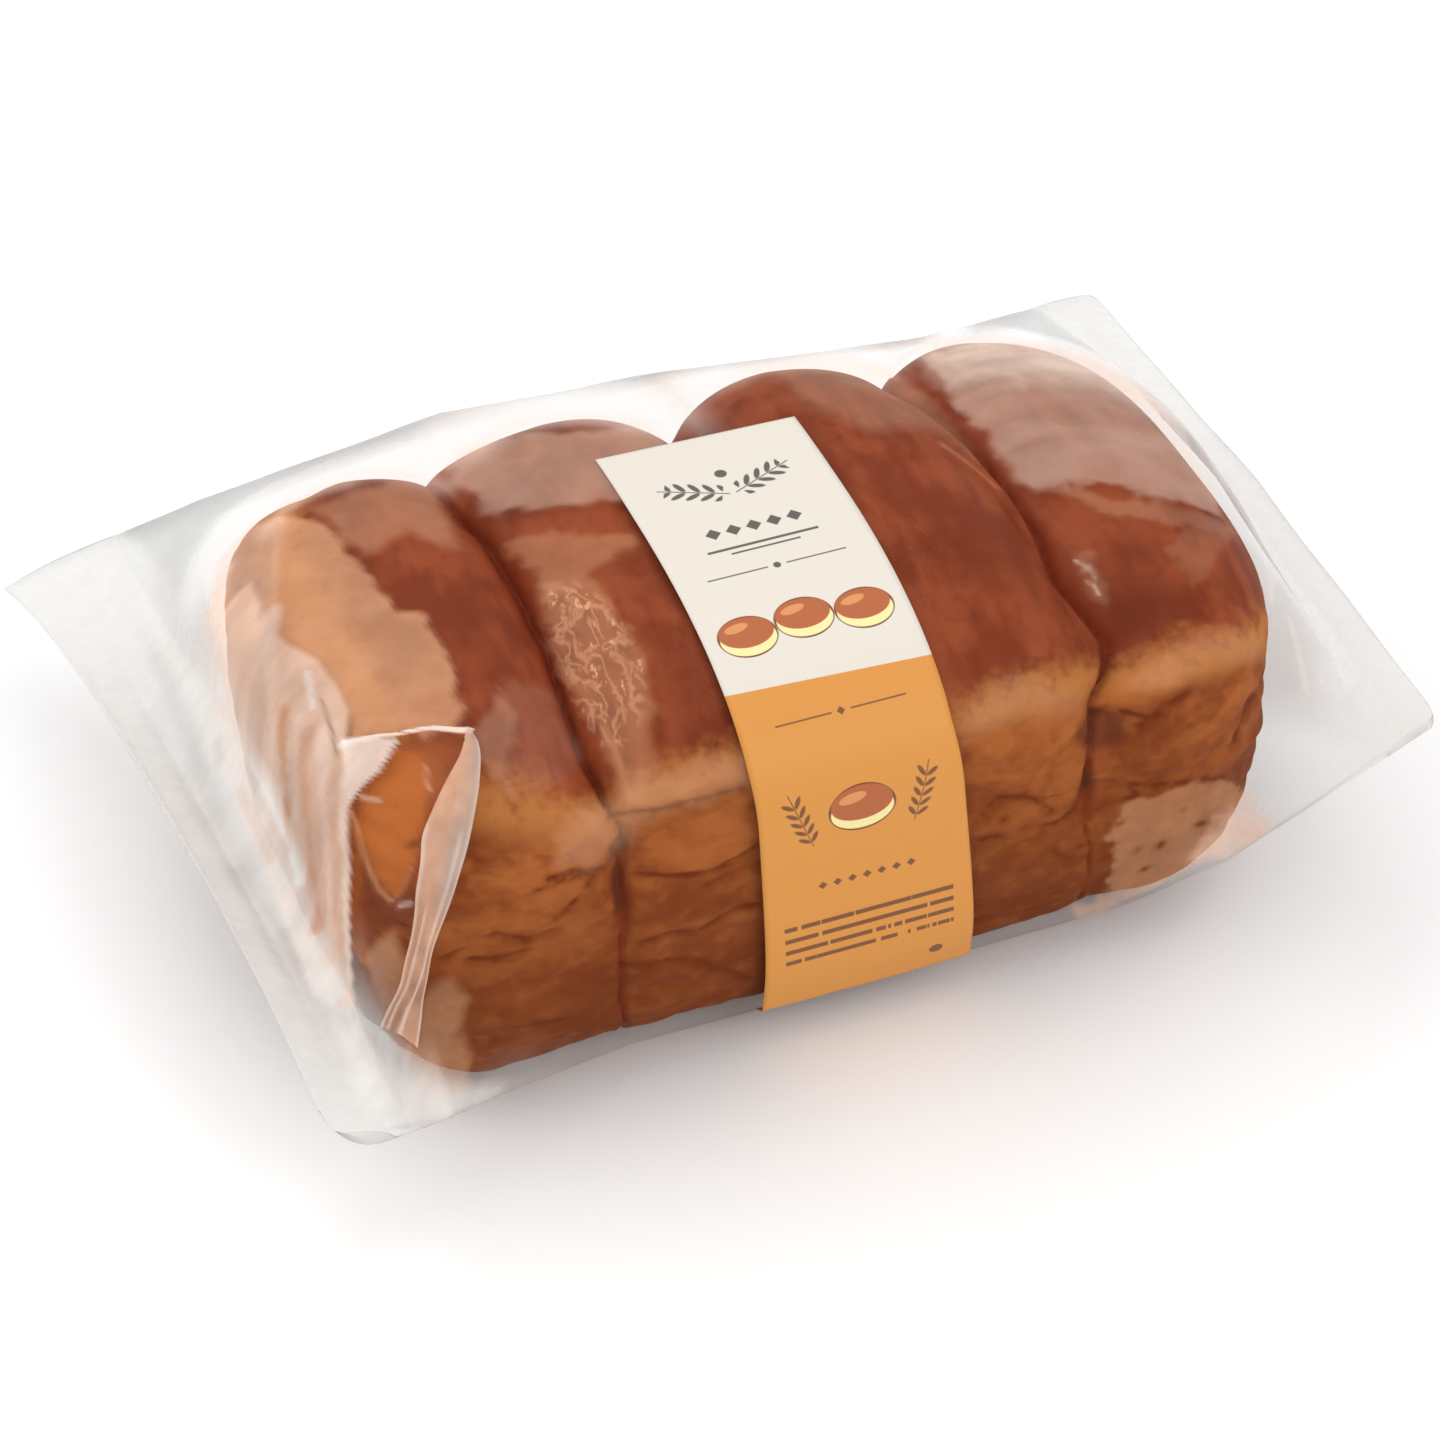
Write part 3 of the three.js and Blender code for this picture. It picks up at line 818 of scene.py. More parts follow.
def zip_faces(first, second, order):
    """Triangles between two lines of vertices that run the same way, order giving each vertex's place."""
    faces = []
    i = j = 0
    while i + 1 < len(first) or j + 1 < len(second):
        first_left, second_left = i + 1 < len(first), j + 1 < len(second)
        if first_left and (not second_left or order[first[i + 1]] < order[second[j + 1]]):
            faces.append([first[i], second[j], first[i + 1]])
            i += 1
        else:
            faces.append([first[i], second[j], second[j + 1]])
            j += 1
    return [f for f in faces if len(set(f)) == 3]


def mesh_object(name, points, faces, material, marks):
    """A piece from a grid of points, its faces, and a value or vector at each point for each of its marks."""
    mesh = bpy.data.meshes.new(name)
    mesh.from_pydata(((points + SHIFT) * MM).reshape(-1, 3).tolist(), [], faces)
    for key, values in marks.items():
        kind, field = ("FLOAT", "value") if values.ndim == 2 else ("FLOAT_VECTOR", "vector")
        values = values.astype(np.float32).ravel()
        mesh.attributes.new(key, kind, "POINT").data.foreach_set(field, values)
    mesh.shade_smooth()
    mesh.materials.append(material)
    piece = bpy.data.objects.new(name, mesh)
    bpy.context.scene.collection.objects.link(piece)
    return piece


def thin_sheet(name, inner, outer, material, marks):
    """Closed thin body between two grids of points, with each mark given for one grid."""
    rings = np.concatenate([inner, outer[:, ::-1]], 1)
    rows, columns = rings.shape[:2]
    faces = grid_faces(rows, columns)
    for row, flip in ((0, False), (rows - 1, True)):
        base = row * columns
        for j in range(columns // 2 - 1):
            quad = [base + j, base + columns - 1 - j, base + columns - 2 - j, base + j + 1]
            faces.append(quad[::-1] if flip else quad)
    doubled = {key: np.concatenate([values, values[:, ::-1]], 1) for key, values in marks.items()}
    return mesh_object(name, rings, faces, material, doubled)


# Node materials

def new_material(name):
    material = bpy.data.materials.new(name)
    material.use_nodes = True
    material.node_tree.nodes.clear()
    return material, material.node_tree


def put(tree, kind, settings=None, **inputs):
    """Adds a node. An input is named with _ for a space, or i0, i1 by its number."""
    node = tree.nodes.new("ShaderNode" + kind)
    for key, value in (settings or {}).items():
        setattr(node, key, value)
    for key, value in inputs.items():
        numbered = key[0] == "i" and key[1:].isdigit()
        feed(tree, node.inputs[int(key[1:]) if numbered else key.replace("_", " ")], value)
    return node


def feed(tree, socket, value):
    """Gives a socket another node's output or a plain value."""
    if isinstance(value, bpy.types.NodeSocket):
        tree.links.new(value, socket)
    else:
        socket.default_value = value


def calc(tree, operation, a, b=0.0, c=0.0):
    return put(tree, "Math", {"operation": operation}, i0=a, i1=b, i2=c).outputs[0]


def times(tree, a, b):
    return calc(tree, "MULTIPLY", a, b)


def fray(tree, value, grains, amount):
    """A value made uneven by a noise texture."""
    return calc(tree, "MULTIPLY_ADD", calc(tree, "SUBTRACT", grains, 0.5), amount, value)


def fade(tree, value, low, high, start=0.0, end=1.0):
    """Smooth step of a value from start at low to end at high."""
    ends = {"From_Min": low, "From_Max": high, "To_Min": start, "To_Max": end}
    return put(tree, "MapRange", {"interpolation_type": "SMOOTHSTEP"}, Value=value, **ends).outputs[0]


def blend(tree, share, a, b):
    """Colour a changed towards colour b by a share."""
    node = put(tree, "Mix", {"data_type": "RGBA"}, i0=share)
    for socket, value in ((node.inputs[6], a), (node.inputs[7], b)):
        feed(tree, socket, (*value, 1) if isinstance(value, tuple) else value)
    return node.outputs[2]


def stain(tree, base, value, reach, strength, colour):
    """A base colour stained up to a strength, where a value goes from reach's first to its second number."""
    return blend(tree, fade(tree, value, *reach, 0, strength), base, colour)


def stored(tree, name, output="Fac"):
    return put(tree, "Attribute", {"attribute_name": name}).outputs[output]


def scaled(tree, vector, scale):
    return put(tree, "Mapping", Vector=vector, Scale=scale).outputs[0]


def place_mm(tree, scale=(1, 1, 1)):
    """Position in the pack's frame in millimetres, scaled."""
    return scaled(tree, put(tree, "TexCoord").outputs["Object"], [s / MM for s in scale])


def grain(tree, vector, scale, detail, roughness=0.55, distortion=0.0):
    shape = {"Scale": scale, "Detail": detail, "Roughness": roughness, "Distortion": distortion}
    return put(tree, "TexNoise", Vector=vector, **shape).outputs["Fac"]


def srgb(red, green, blue):
    """Linear colour from a screen colour of 0 to 255."""
    shares = (v / 255 for v in (red, green, blue))
    return tuple(((v + 0.055) / 1.055) ** 2.4 if v > 0.04 else v / 12.92 for v in shares)


def finish_surface(tree, surface):
    put(tree, "OutputMaterial", Surface=surface)


# Colours
GLAZE_DARK = srgb(122, 50, 22)
GLAZE_LIGHT = srgb(148, 70, 38)
GLAZE_DEEP = srgb(100, 36, 14)
SIDE_DARK = srgb(128, 60, 22)
SIDE_LIGHT = srgb(167, 93, 43)
SIDE_DEEP = srgb(104, 42, 8)
SIDE_PALE = srgb(192, 122, 68)
FOOT_BROWN = srgb(110, 48, 14)
BAND_TAN = srgb(188, 120, 64)
AMBER = srgb(188, 104, 48)
BRUISE_BROWN = srgb(116, 56, 40)
CORNER_BROWN = srgb(160, 84, 46)
CRACK_BROWN = srgb(112, 46, 12)
# Dark joint crust, partly painted shade in the creases
JOINT_BROWN_AND_SHADE = srgb(132, 50, 22)
PINCH_BROWN = srgb(104, 48, 28)
SPECK_BROWN = srgb(84, 34, 12)
FILM_CLEAR = (0.975, 0.975, 0.97)
MILK_COOL = srgb(233, 231, 228)
# Painted shade of the film standing off the loaf's back
MILK_GREY_SHADE = srgb(184, 183, 181)
MILK_WARM = srgb(250, 188, 142)
MILK_SHADE = srgb(132, 90, 64)
# Painted highlight along the ridge fold
RIDGE_HIGHLIGHT_CREAM = srgb(250, 238, 226)
WHITE = (1, 1, 1, 1)
PAPER_CREAM = (srgb(226, 218, 207), srgb(219, 210, 197))
PAPER_ORANGE = (srgb(216, 146, 60), srgb(211, 139, 54))
PRINT_GREY = srgb(92, 84, 78)
PRINT_BROWN = srgb(122, 72, 34)
BUN_OUTLINE = srgb(112, 52, 26)
BUN_CRUMB = srgb(240, 226, 160)
BUN_GLAZE = srgb(176, 92, 44)
BUN_SHINE = srgb(214, 142, 84)
FLOOR_GREYS = ((0.93, 0.93, 0.93), (0.95, 0.95, 0.95))


# The crust's grain textures: stretch along the axes, scale, detail and roughness
CRUST_GRAIN = {
    "broad": ((1, 1, 1), 0.045, 5.0, 0.55),
    "combed": ((1, 0.3, 0.5), 0.22, 4.0, 0.55),
    "layered": ((0.6, 1, 1.1), 0.09, 5.0, 0.6),
    "mottle": ((1, 1, 1), 0.28, 5.0, 0.65),
    "fine": ((1, 1, 1), 0.8, 4.0, 0.65),
}
# Middle of a grain over which the lighter of two colours takes over
GRAIN_MIDDLE = (0.36, 0.64)
# Heights over the glaze's edge between which the side turns to glaze, and those of the tan band below it
GLAZE_LEVELS = (-3.4, 2.2)
GLAZE_RAGGED = 7.0
TAN_LEVELS = (-10, -4)
GLAZE_ROUGHNESS = 0.5
SIDE_ROUGHNESS = 0.7
# Spots of the crust: mark, strength and colour
CRUST_SPOTS = [("corner", 0.75, CORNER_BROWN), ("amber", 0.85, AMBER), ("bruise", 0.64, BRUISE_BROWN)]


def crust_grain(tree, name):
    stretch, *settings = CRUST_GRAIN[name]
    return grain(tree, place_mm(tree, stretch), *settings)


def glaze_colour(tree, combed, mottle):
    """Glossy reddish brown of the loaf's top."""
    patchy = fray(tree, crust_grain(tree, "broad"), combed, 0.6)
    glaze = blend(tree, fade(tree, patchy, *GRAIN_MIDDLE), GLAZE_DARK, GLAZE_LIGHT)
    glaze = stain(tree, glaze, mottle, (0.5, 0.72), 0.3, GLAZE_DEEP)
    return blend(tree, stored(tree, "dark"), glaze, GLAZE_DEEP)


def side_colour(tree, level, mottle):
    """Matt golden brown of the loaf's sides, paler right below the glaze and darker at the foot."""
    side = blend(tree, fade(tree, crust_grain(tree, "layered"), *GRAIN_MIDDLE), SIDE_DARK, SIDE_LIGHT)
    side = blend(tree, times(tree, stored(tree, "foot"), 0.75), side, FOOT_BROWN)
    for value, reach, strength, colour in (
        (level, TAN_LEVELS, 0.75, BAND_TAN),
        (mottle, (0.5, 0.7), 0.25, SIDE_DEEP),
        (mottle, (0.5, 0.3), 0.16, SIDE_PALE),
    ):
        side = stain(tree, side, value, reach, strength, colour)
    return side


def crease_colour_and_shade(tree, crust, glazed, mottle):
    """The crust with its joints' creases in a dark brown that is partly painted shade, a painted shade halo
    round them, narrow on the glaze and soft on the sides, and its pinches.
    """
    near = fray(tree, stored(tree, "crease"), mottle, 0.5)
    # Painted shade: a soft dark halo on either side of each joint
    shade_halo = times(tree, fade(tree, near, 0.1, 0.85, 0, 0.55), fade(tree, glazed, 0, 1, 0.6, 1))
    top_crease = times(tree, fade(tree, near, 0.66, 0.9), glazed)
    side_crease = fade(tree, fray(tree, near, mottle, 0.6), 0.84, 1.0, 0, 0.8)
    crust = blend(tree, shade_halo, crust, JOINT_BROWN_AND_SHADE)
    crust = blend(tree, calc(tree, "MAXIMUM", top_crease, side_crease), crust, JOINT_BROWN_AND_SHADE)
    return stain(tree, crust, fray(tree, stored(tree, "pinch"), mottle, 0.5), (0.2, 0.75), 0.85, PINCH_BROWN)


def crust_bump(tree, glazed, combed, mottle, fine, crack):
    """Fine relief: combed all over, grainy on the sides, sunk at the cracks."""
    height = times(tree, calc(tree, "MULTIPLY_ADD", fine, 0.5, mottle), fade(tree, glazed, 0, 1, 1, 0))
    height = calc(tree, "MULTIPLY_ADD", combed, 0.25, height)
    height = calc(tree, "MULTIPLY_ADD", crack, -0.6, height)
    return put(tree, "Bump", Strength=0.35, Distance=0.6 * MM, Height=height).outputs[0]


def crust_material():
    material, tree = new_material("baked_crust")
    combed, mottle, fine = (crust_grain(tree, name) for name in ("combed", "mottle", "fine"))
    level = fray(tree, stored(tree, "level"), mottle, GLAZE_RAGGED)
    glazed = fade(tree, level, *GLAZE_LEVELS)
    crust = blend(tree, glazed, side_colour(tree, level, mottle), glaze_colour(tree, combed, mottle))
    for name, strength, colour in CRUST_SPOTS:
        crust = blend(tree, times(tree, stored(tree, name), strength), crust, colour)
    cleft = fray(tree, stored(tree, "crack"), mottle, 0.8)
    crack = fade(tree, cleft, 0.76, 0.94, 0, 0.85)
    # Painted shade: a soft darker zone round each crack
    crust = stain(tree, crust, cleft, (0.3, 0.8), 0.35, SIDE_DEEP)
    crust = blend(tree, crack, crust, CRACK_BROWN)
    crust = crease_colour_and_shade(tree, crust, glazed, mottle)
    crust = stain(tree, crust, fine, (0.55, 0.75), 0.22, SPECK_BROWN)
    shader = put(
        tree, "BsdfPrincipled", Base_Color=crust, IOR=1.4, Specular_IOR_Level=0.12,
        Roughness=fade(tree, glazed, 0, 1, SIDE_ROUGHNESS, GLAZE_ROUGHNESS),
        Normal=crust_bump(tree, glazed, combed, mottle, fine, crack),
    )
    finish_surface(tree, shader.outputs[0])
    return material


def crinkle_glints(tree, sheet):
    """Light caught by the worm-like crinkles of the film's crinkled patch."""
    bent = scaled(tree, sheet, (1, 0.5, 1))
    worms = calc(tree, "SUBTRACT", grain(tree, bent, 0.34, 2.5, distortion=0.5), 0.5)
    worms = fade(tree, calc(tree, "ABSOLUTE", worms), 0.1, 0.0, 0, 0.2)
    glints = fade(tree, grain(tree, bent, 0.55, 2.0), 0.58, 0.7, 0, 0.42)
    return times(tree, calc(tree, "MAXIMUM", worms, glints), stored(tree, "crinkle"))


def film_haze_and_sheen(tree, sheet, smudges):
    """How milky the film is, with its painted reflections, smudges, streaks, and the painted glints of its
    crinkles.
    """
    streaks = grain(tree, scaled(tree, sheet, (0.12, 1, 1)), 0.14, 3.0)
    streaks = times(tree, calc(tree, "SUBTRACT", streaks, 0.5), stored(tree, "streaky"))
    uneven = calc(tree, "MULTIPLY_ADD", streaks, 0.9, fade(tree, smudges, 0.3, 0.7, 0.84, 1.1))
    return calc(tree, "MULTIPLY_ADD", stored(tree, "haze_and_sheen"), uneven, crinkle_glints(tree, sheet))


def film_tint(tree, line):
    """Colour of the milky film, with painted grey shade at its back, the painted cream highlight of the ridge
    fold and painted shade lines.
    """
    # Painted shade: grey over the film standing off the loaf's back
    tint = blend(tree, stored(tree, "grey_shade"), MILK_COOL, MILK_GREY_SHADE)
    tint = blend(tree, stored(tree, "warmth"), tint, MILK_WARM)
    tint = blend(tree, line, tint, RIDGE_HIGHLIGHT_CREAM)
    return blend(tree, stored(tree, "shade"), tint, MILK_SHADE)


def film_material():
    material, tree = new_material("clear_film")
    sheet = stored(tree, "sheet", "Vector")
    smudges = grain(tree, sheet, 0.1, 4.0)
    # Painted cream highlight along the ridge fold
    line = fade(tree, fray(tree, stored(tree, "line"), smudges, 0.5), 0.55, 0.86, 0, 0.8)
    haze_and_sheen = calc(tree, "MAXIMUM", film_haze_and_sheen(tree, sheet, smudges), line)
    tint = film_tint(tree, line)
    clear = put(tree, "BsdfTransparent", Color=(*FILM_CLEAR, 1)).outputs[0]
    milk = put(tree, "BsdfPrincipled", Base_Color=tint, Roughness=0.5, Specular_IOR_Level=0.2).outputs[0]
    body = put(tree, "MixShader", i0=haze_and_sheen, i1=clear, i2=milk).outputs[0]
    bump = put(tree, "Bump", Strength=0.1, Distance=0.5 * MM, Height=smudges).outputs[0]
    shine = put(tree, "BsdfGlossy", Color=WHITE, Roughness=0.26, Normal=bump).outputs[0]
    facing = put(tree, "LayerWeight", Blend=0.5, Normal=bump).outputs["Facing"]
    edge = fade(tree, facing, 0.66, 1.0, 0, 0.35)
    finish_surface(tree, put(tree, "MixShader", i0=edge, i1=body, i2=shine).outputs[0])
    return material


# Printed marks, drawn in the label's own millimetres: across from its middle, and along from the crown
PRINT_EDGE = 0.12
# The cream part's lower edge: its place along the label, and how much it slants
PAPER_BORDER = -50.1
PAPER_BORDER_SLANT = 0.05
# A sprig's leaves and stem, and how they lie in one cell of its length
LEAF_PITCH = 2.4
LEAF_RISE = 1.15
LEAF_RADII = (1.45, 0.5)
LEAF_TURN = 0.75
STEM_HALF = 0.12
STEM_END = 1.2
# Small print: half height of a stroke as a share of the row, and how the words break
STROKE_SHARE = 0.19
WORD_SHIFT = 9.7
WORD_BREAKS = (0.36, 0.38)
# Parts of a bun: centre, radii, turn and colour
BUN_PARTS = [
    ((0, 0), (6.3, 4.9), 0, BUN_OUTLINE),
    ((0, -0.5), (5.9, 4.0), 0, BUN_CRUMB),
    ((0, 1.0), (5.8, 3.6), 0, BUN_GLAZE),
    ((-1.6, 2.4), (2.6, 1.0), 0.15, BUN_SHINE),
]
# Buns on the label: centre and size
BUNS = [((-12.5, -37.5), 1.0), ((12.5, -37.5), 1.0), ((0, -36.3), 1.0), ((0, -78), 1.15)]


def local_place(tree, place, centre, turn=0.0):
    """Place measured from a mark's centre, along its own turned axes."""
    at = {"Location": (*centre, 0), "Rotation": (0, 0, turn)}
    return put(tree, "Mapping", {"vector_type": "TEXTURE"}, Vector=place, **at).outputs[0]


def across_along(tree, vector):
    parts = put(tree, "SeparateXYZ", Vector=vector)
    return parts.outputs[0], parts.outputs[1]


def ellipse(tree, place, centre, radii, turn=0.0):
    unit = scaled(tree, local_place(tree, place, centre, turn), (1 / radii[0], 1 / radii[1], 0))
    radius = put(tree, "VectorMath", {"operation": "LENGTH"}, i0=unit).outputs["Value"]
    soft = PRINT_EDGE / min(radii)
    return fade(tree, radius, 1 + soft, 1 - soft)


def below(tree, value, limit):
    return fade(tree, value, limit + PRINT_EDGE, limit - PRINT_EDGE)


def within(tree, value, reach):
    return below(tree, calc(tree, "ABSOLUTE", value), reach)


def bar(tree, place, centre, size):
    u, v = across_along(tree, local_place(tree, place, centre))
    return times(tree, within(tree, u, size[0] / 2), within(tree, v, size[1] / 2))


def cell(tree, value, pitch):
    """Position in a repeated cell, from minus to plus half a pitch."""
    return calc(tree, "WRAP", value, pitch / 2, -pitch / 2)


def diamonds(tree, place, centre, pitch, count, reach):
    """A row of diamonds."""
    u, v = across_along(tree, local_place(tree, place, centre))
    slant = calc(tree, "ADD", calc(tree, "ABSOLUTE", cell(tree, u, pitch)), calc(tree, "ABSOLUTE", v))
    return times(tree, below(tree, slant, reach), within(tree, u, count * pitch / 2))


def sprig(tree, place, centre, pairs, turn, size=1.0):
    """A stem with pairs of slanting leaves."""
    pitch = LEAF_PITCH * size
    half = pairs * pitch / 2
    u, v = across_along(tree, local_place(tree, place, centre, turn))
    leaf_place = put(tree, "CombineXYZ", X=cell(tree, u, pitch), Y=calc(tree, "ABSOLUTE", v)).outputs[0]
    leaf = ellipse(tree, leaf_place, (0, LEAF_RISE * size), [r * size for r in LEAF_RADII], LEAF_TURN)
    stem = times(tree, within(tree, v, STEM_HALF * size), within(tree, u, half + STEM_END * size))
    return calc(tree, "MAXIMUM", times(tree, leaf, within(tree, u, half)), stem)


def word_rows(tree, place, centre, size, pitch):
    """Rows of short bars, as small print looks from afar."""
    u, v = across_along(tree, local_place(tree, place, centre))
    line = calc(tree, "DIVIDE", v, pitch)
    middle = times(tree, calc(tree, "SUBTRACT", calc(tree, "FRACT", line), 0.5), pitch)
    stroke = within(tree, middle, pitch * STROKE_SHARE)
    row_shift = times(tree, calc(tree, "FLOOR", line), WORD_SHIFT)
    word_place = put(tree, "CombineXYZ", X=u, Y=row_shift).outputs[0]
    words = fade(tree, grain(tree, word_place, 0.5, 1.0), *WORD_BREAKS)
    return times(tree, times(tree, stroke, words), bar(tree, place, centre, size))


def bun(tree, place, ink, centre, size):
    """The ink with a round glazed bun that has a pale crumb at its foot."""
    for (u, v), radii, turn, colour in BUN_PARTS:
        middle = (centre[0] + u * size, centre[1] + v * size)
        ink = blend(tree, ellipse(tree, place, middle, [r * size for r in radii], turn), ink, colour)
    return ink


# Marks of the label's cream part: each mark's function, centre and sizes
CREAM_MARKS = [
    (sprig, (-7.5, 4.6), 4, math.pi - 0.42, 1.25),
    (sprig, (7.5, 4.6), 4, 0.42, 1.25),
    (ellipse, (0, 8.5), (1.3, 1.3)),
    (diamonds, (0, -9.5), 4.4, 5, 1.7),
    (bar, (0, -14.6), (24, 0.7)),
    (bar, (0, -16.2), (15, 0.5)),
    (bar, (-8.5, -22), (13, 0.35)),
    (bar, (8.5, -22), (13, 0.35)),
    (ellipse, (0, -22), (0.8, 0.8)),
]
# Marks of its orange part
ORANGE_MARKS = [
    (bar, (-8, -57.5), (12, 0.35)),
    (bar, (8, -57.5), (12, 0.35)),
    (diamonds, (0, -57.5), 2.0, 1, 0.9),
    (sprig, (-13, -78), 5, math.pi / 2 + 0.3),
    (sprig, (13, -78), 5, math.pi / 2 - 0.3),
    (diamonds, (0, -96), 3.2, 7, 1.0),
    (word_rows, (0, -111), (37, 13.2), 3.3),
    (ellipse, (15, -125), (1.5, 1.5)),
]


def print_marks(tree, place, ink, marks, colour):
    """The ink with a list of marks in one colour."""
    for shape, *sizes in marks:
        ink = blend(tree, shape(tree, place, *sizes), ink, colour)
    return ink


def label_material():
    material, tree = new_material("printed_paper")
    place = stored(tree, "print", "Vector")
    u, v = across_along(tree, place)
    border = calc(tree, "MULTIPLY_ADD", u, PAPER_BORDER_SLANT, calc(tree, "SUBTRACT", v, PAPER_BORDER))
    fibre = grain(tree, place, 1.4, 4.0)
    cream, orange = blend(tree, fibre, *PAPER_CREAM), blend(tree, fibre, *PAPER_ORANGE)
    ink = blend(tree, fade(tree, border, -PRINT_EDGE, PRINT_EDGE), orange, cream)
    ink = print_marks(tree, place, ink, CREAM_MARKS, PRINT_GREY)
    for centre, size in BUNS:
        ink = bun(tree, place, ink, centre, size)
    ink = print_marks(tree, place, ink, ORANGE_MARKS, PRINT_BROWN)
    bump = put(tree, "Bump", Strength=0.1, Distance=0.1 * MM, Height=fibre).outputs[0]
    shader = put(tree, "BsdfPrincipled", Base_Color=ink, Roughness=0.5, Normal=bump)
    finish_surface(tree, shader.outputs[0])
    return material


def floor_material():
    material, tree = new_material("pale_floor")
    colour = blend(tree, grain(tree, place_mm(tree), 0.01, 2.0), *FLOOR_GREYS)
    finish_surface(tree, put(tree, "BsdfPrincipled", Base_Color=colour, Roughness=0.7).outputs[0])
    return material


# Loaf

def loaf_rows():
    """Places along X that step evenly over the loaf's plan outline, closer together at the joints."""
    angle = np.linspace(-np.pi / 2, np.pi / 2, PLAN_SAMPLES)
    reach = np.where(angle < 0, LOAF_ENDS["left"]["reach"], LOAF_ENDS["right"]["reach"])
    x = reach * np.sin(angle)
    profile = np.column_stack([x, LOAF_FRONT * np.array([end_scale(v) for v in x])])
    middles = (x[1:] + x[:-1]) / 2
    joints = (DIP_PLACES[0], 0, DIP_PLACES[1])
    near = sum(np.exp(-((middles - place) / CROWDING_REACH) ** 2) for place in joints)
    lengths = run_lengths(profile, 1 + near)
    inner = np.linspace(0, lengths[-1], LOAF_STATIONS + 2)[1:-1]
    return np.interp(inner, lengths, x)


def loaf_ring(x):
    """Section of the loaf at x, with its closest points on the front."""
    outline = full_section(x, -LOAF_INSET, SECTION_SAMPLES)
    closed = np.vstack([outline, outline[:1]])
    density = np.where(outline[:, 0] > BACK_START, BACK_DENSITY, 1)
    density = density * np.where(outline[:, 1] < BOTTOM_HEIGHT, BOTTOM_DENSITY, 1)
    lengths = run_lengths(closed, density)
    ring = points_at(closed, lengths, lengths[-1] * np.arange(LOAF_AROUND) / LOAF_AROUND)
    ring = END_CENTRE + (ring - END_CENTRE) * end_scale(x)
    return np.column_stack([np.full(len(ring), x), ring])


def joint_relief(p, s):
    """Depth of the joints, and how near a point lies to a joint's crease, up to 1."""
    x, z = p[..., 0], p[..., 2]
    depth, crease = np.zeros((2, *x.shape))
    fall = lerp(JOINT_SIDE_SHARE, 1, smooth(z, *JOINT_FADE_HEIGHTS))
    power = lerp(*JOINT_POWERS, smooth(s, *JOINT_BACK_LENGTHS))
    for k, joint in enumerate(JOINTS):
        length, place, width = np.array(joint["path"], float).T
        wobble = JOINT_WOBBLE * noise(p * [0, 1, 1], JOINT_WOBBLE_REACH, seed=40 + k)
        away = np.abs(x - np.interp(s, length, place) - wobble)
        u = clamp01(1 - away / (LOBE_PITCH / 2))
        full = joint["depth"] * lerp(1, joint["back"], smooth(s, *HELD_BACK_LENGTHS))
        depth = np.maximum(depth, full * fall * (1 - (1 - u ** power) ** JOINT_ROUNDING))
        crease = np.maximum(crease, 1 - away / (CREASE_SPREAD * np.interp(s, length, width)))
    return depth, crease


def crack_lines(p, s):
    """How near a point lies to a crack, up to 1: named cracks, and fainter broken level ones all round."""
    warp = CRACK_WARP * noise(p, CRACK_WARP_REACH, seed=5)
    near = np.zeros(s.shape)
    for path in CRACKS:
        near = np.maximum(near, 1 - line_distance(p[..., 0] + warp, s - warp, path) / CRACK_REACH)
    bent = p + noise(p, FINE_CRACK_BEND_REACH, seed=5)[..., None] * FINE_CRACK_BEND
    fine = clamp01(1 - np.abs(noise(bent, FINE_CRACK_REACH, seed=6)) / FINE_CRACK_BREADTH)
    patchy = smooth(noise(p, FINE_CRACK_PATCH_REACH, seed=8), *FINE_CRACK_PATCHES)
    return np.maximum(near, FINE_CRACK_SHARE * fine * patchy)


def side_share(level, z):
    """1 on the matt sides below the glaze, 0 on the glaze and at the very foot."""
    return (1 - smooth(level, *SIDE_LEVELS)) * smooth(z, *SIDE_FOOT_HEIGHTS)


def crust_marks(p, s, crease):
    """The values at each point of the loaf from which its material makes the crust's colours."""
    x, z = p[..., 0], p[..., 2]
    edge = np.interp(x, *GLAZE_EDGE.T) + GLAZE_WAVER * rough(p, GLAZE_WAVER_REACH, 3, seed=20)
    level = np.clip(z - edge, -LEVEL_REACH, LEVEL_REACH)
    pits = np.max([1 - np.hypot(x - cx, s - cs) / PIT_REACH for cx, cs in PITS], axis=0)
    amber_strip = smooth(line_distance(x, s, AMBER_STRIP), *AMBER_STRIP_SOFT)
    return {
        "level": level,
        "crease": crease,
        "pinch": spot_strength(x, s, PINCHES),
        "crack": np.maximum(crack_lines(p, s) * side_share(level, z), clamp01(pits)),
        "dark": spot_strength(x, s, DARK_SPOTS),
        "foot": 1 - smooth(z, *FOOT_HEIGHTS),
        "corner": inside_share(x, s, BARE_CORNER, CORNER_SOFT),
        "amber": np.maximum(inside_share(x, s, AMBER_TONGUE, AMBER_SOFT), amber_strip),
        "bruise": inside_share(x, s, BRUISE, BRUISE_SOFT),
    }


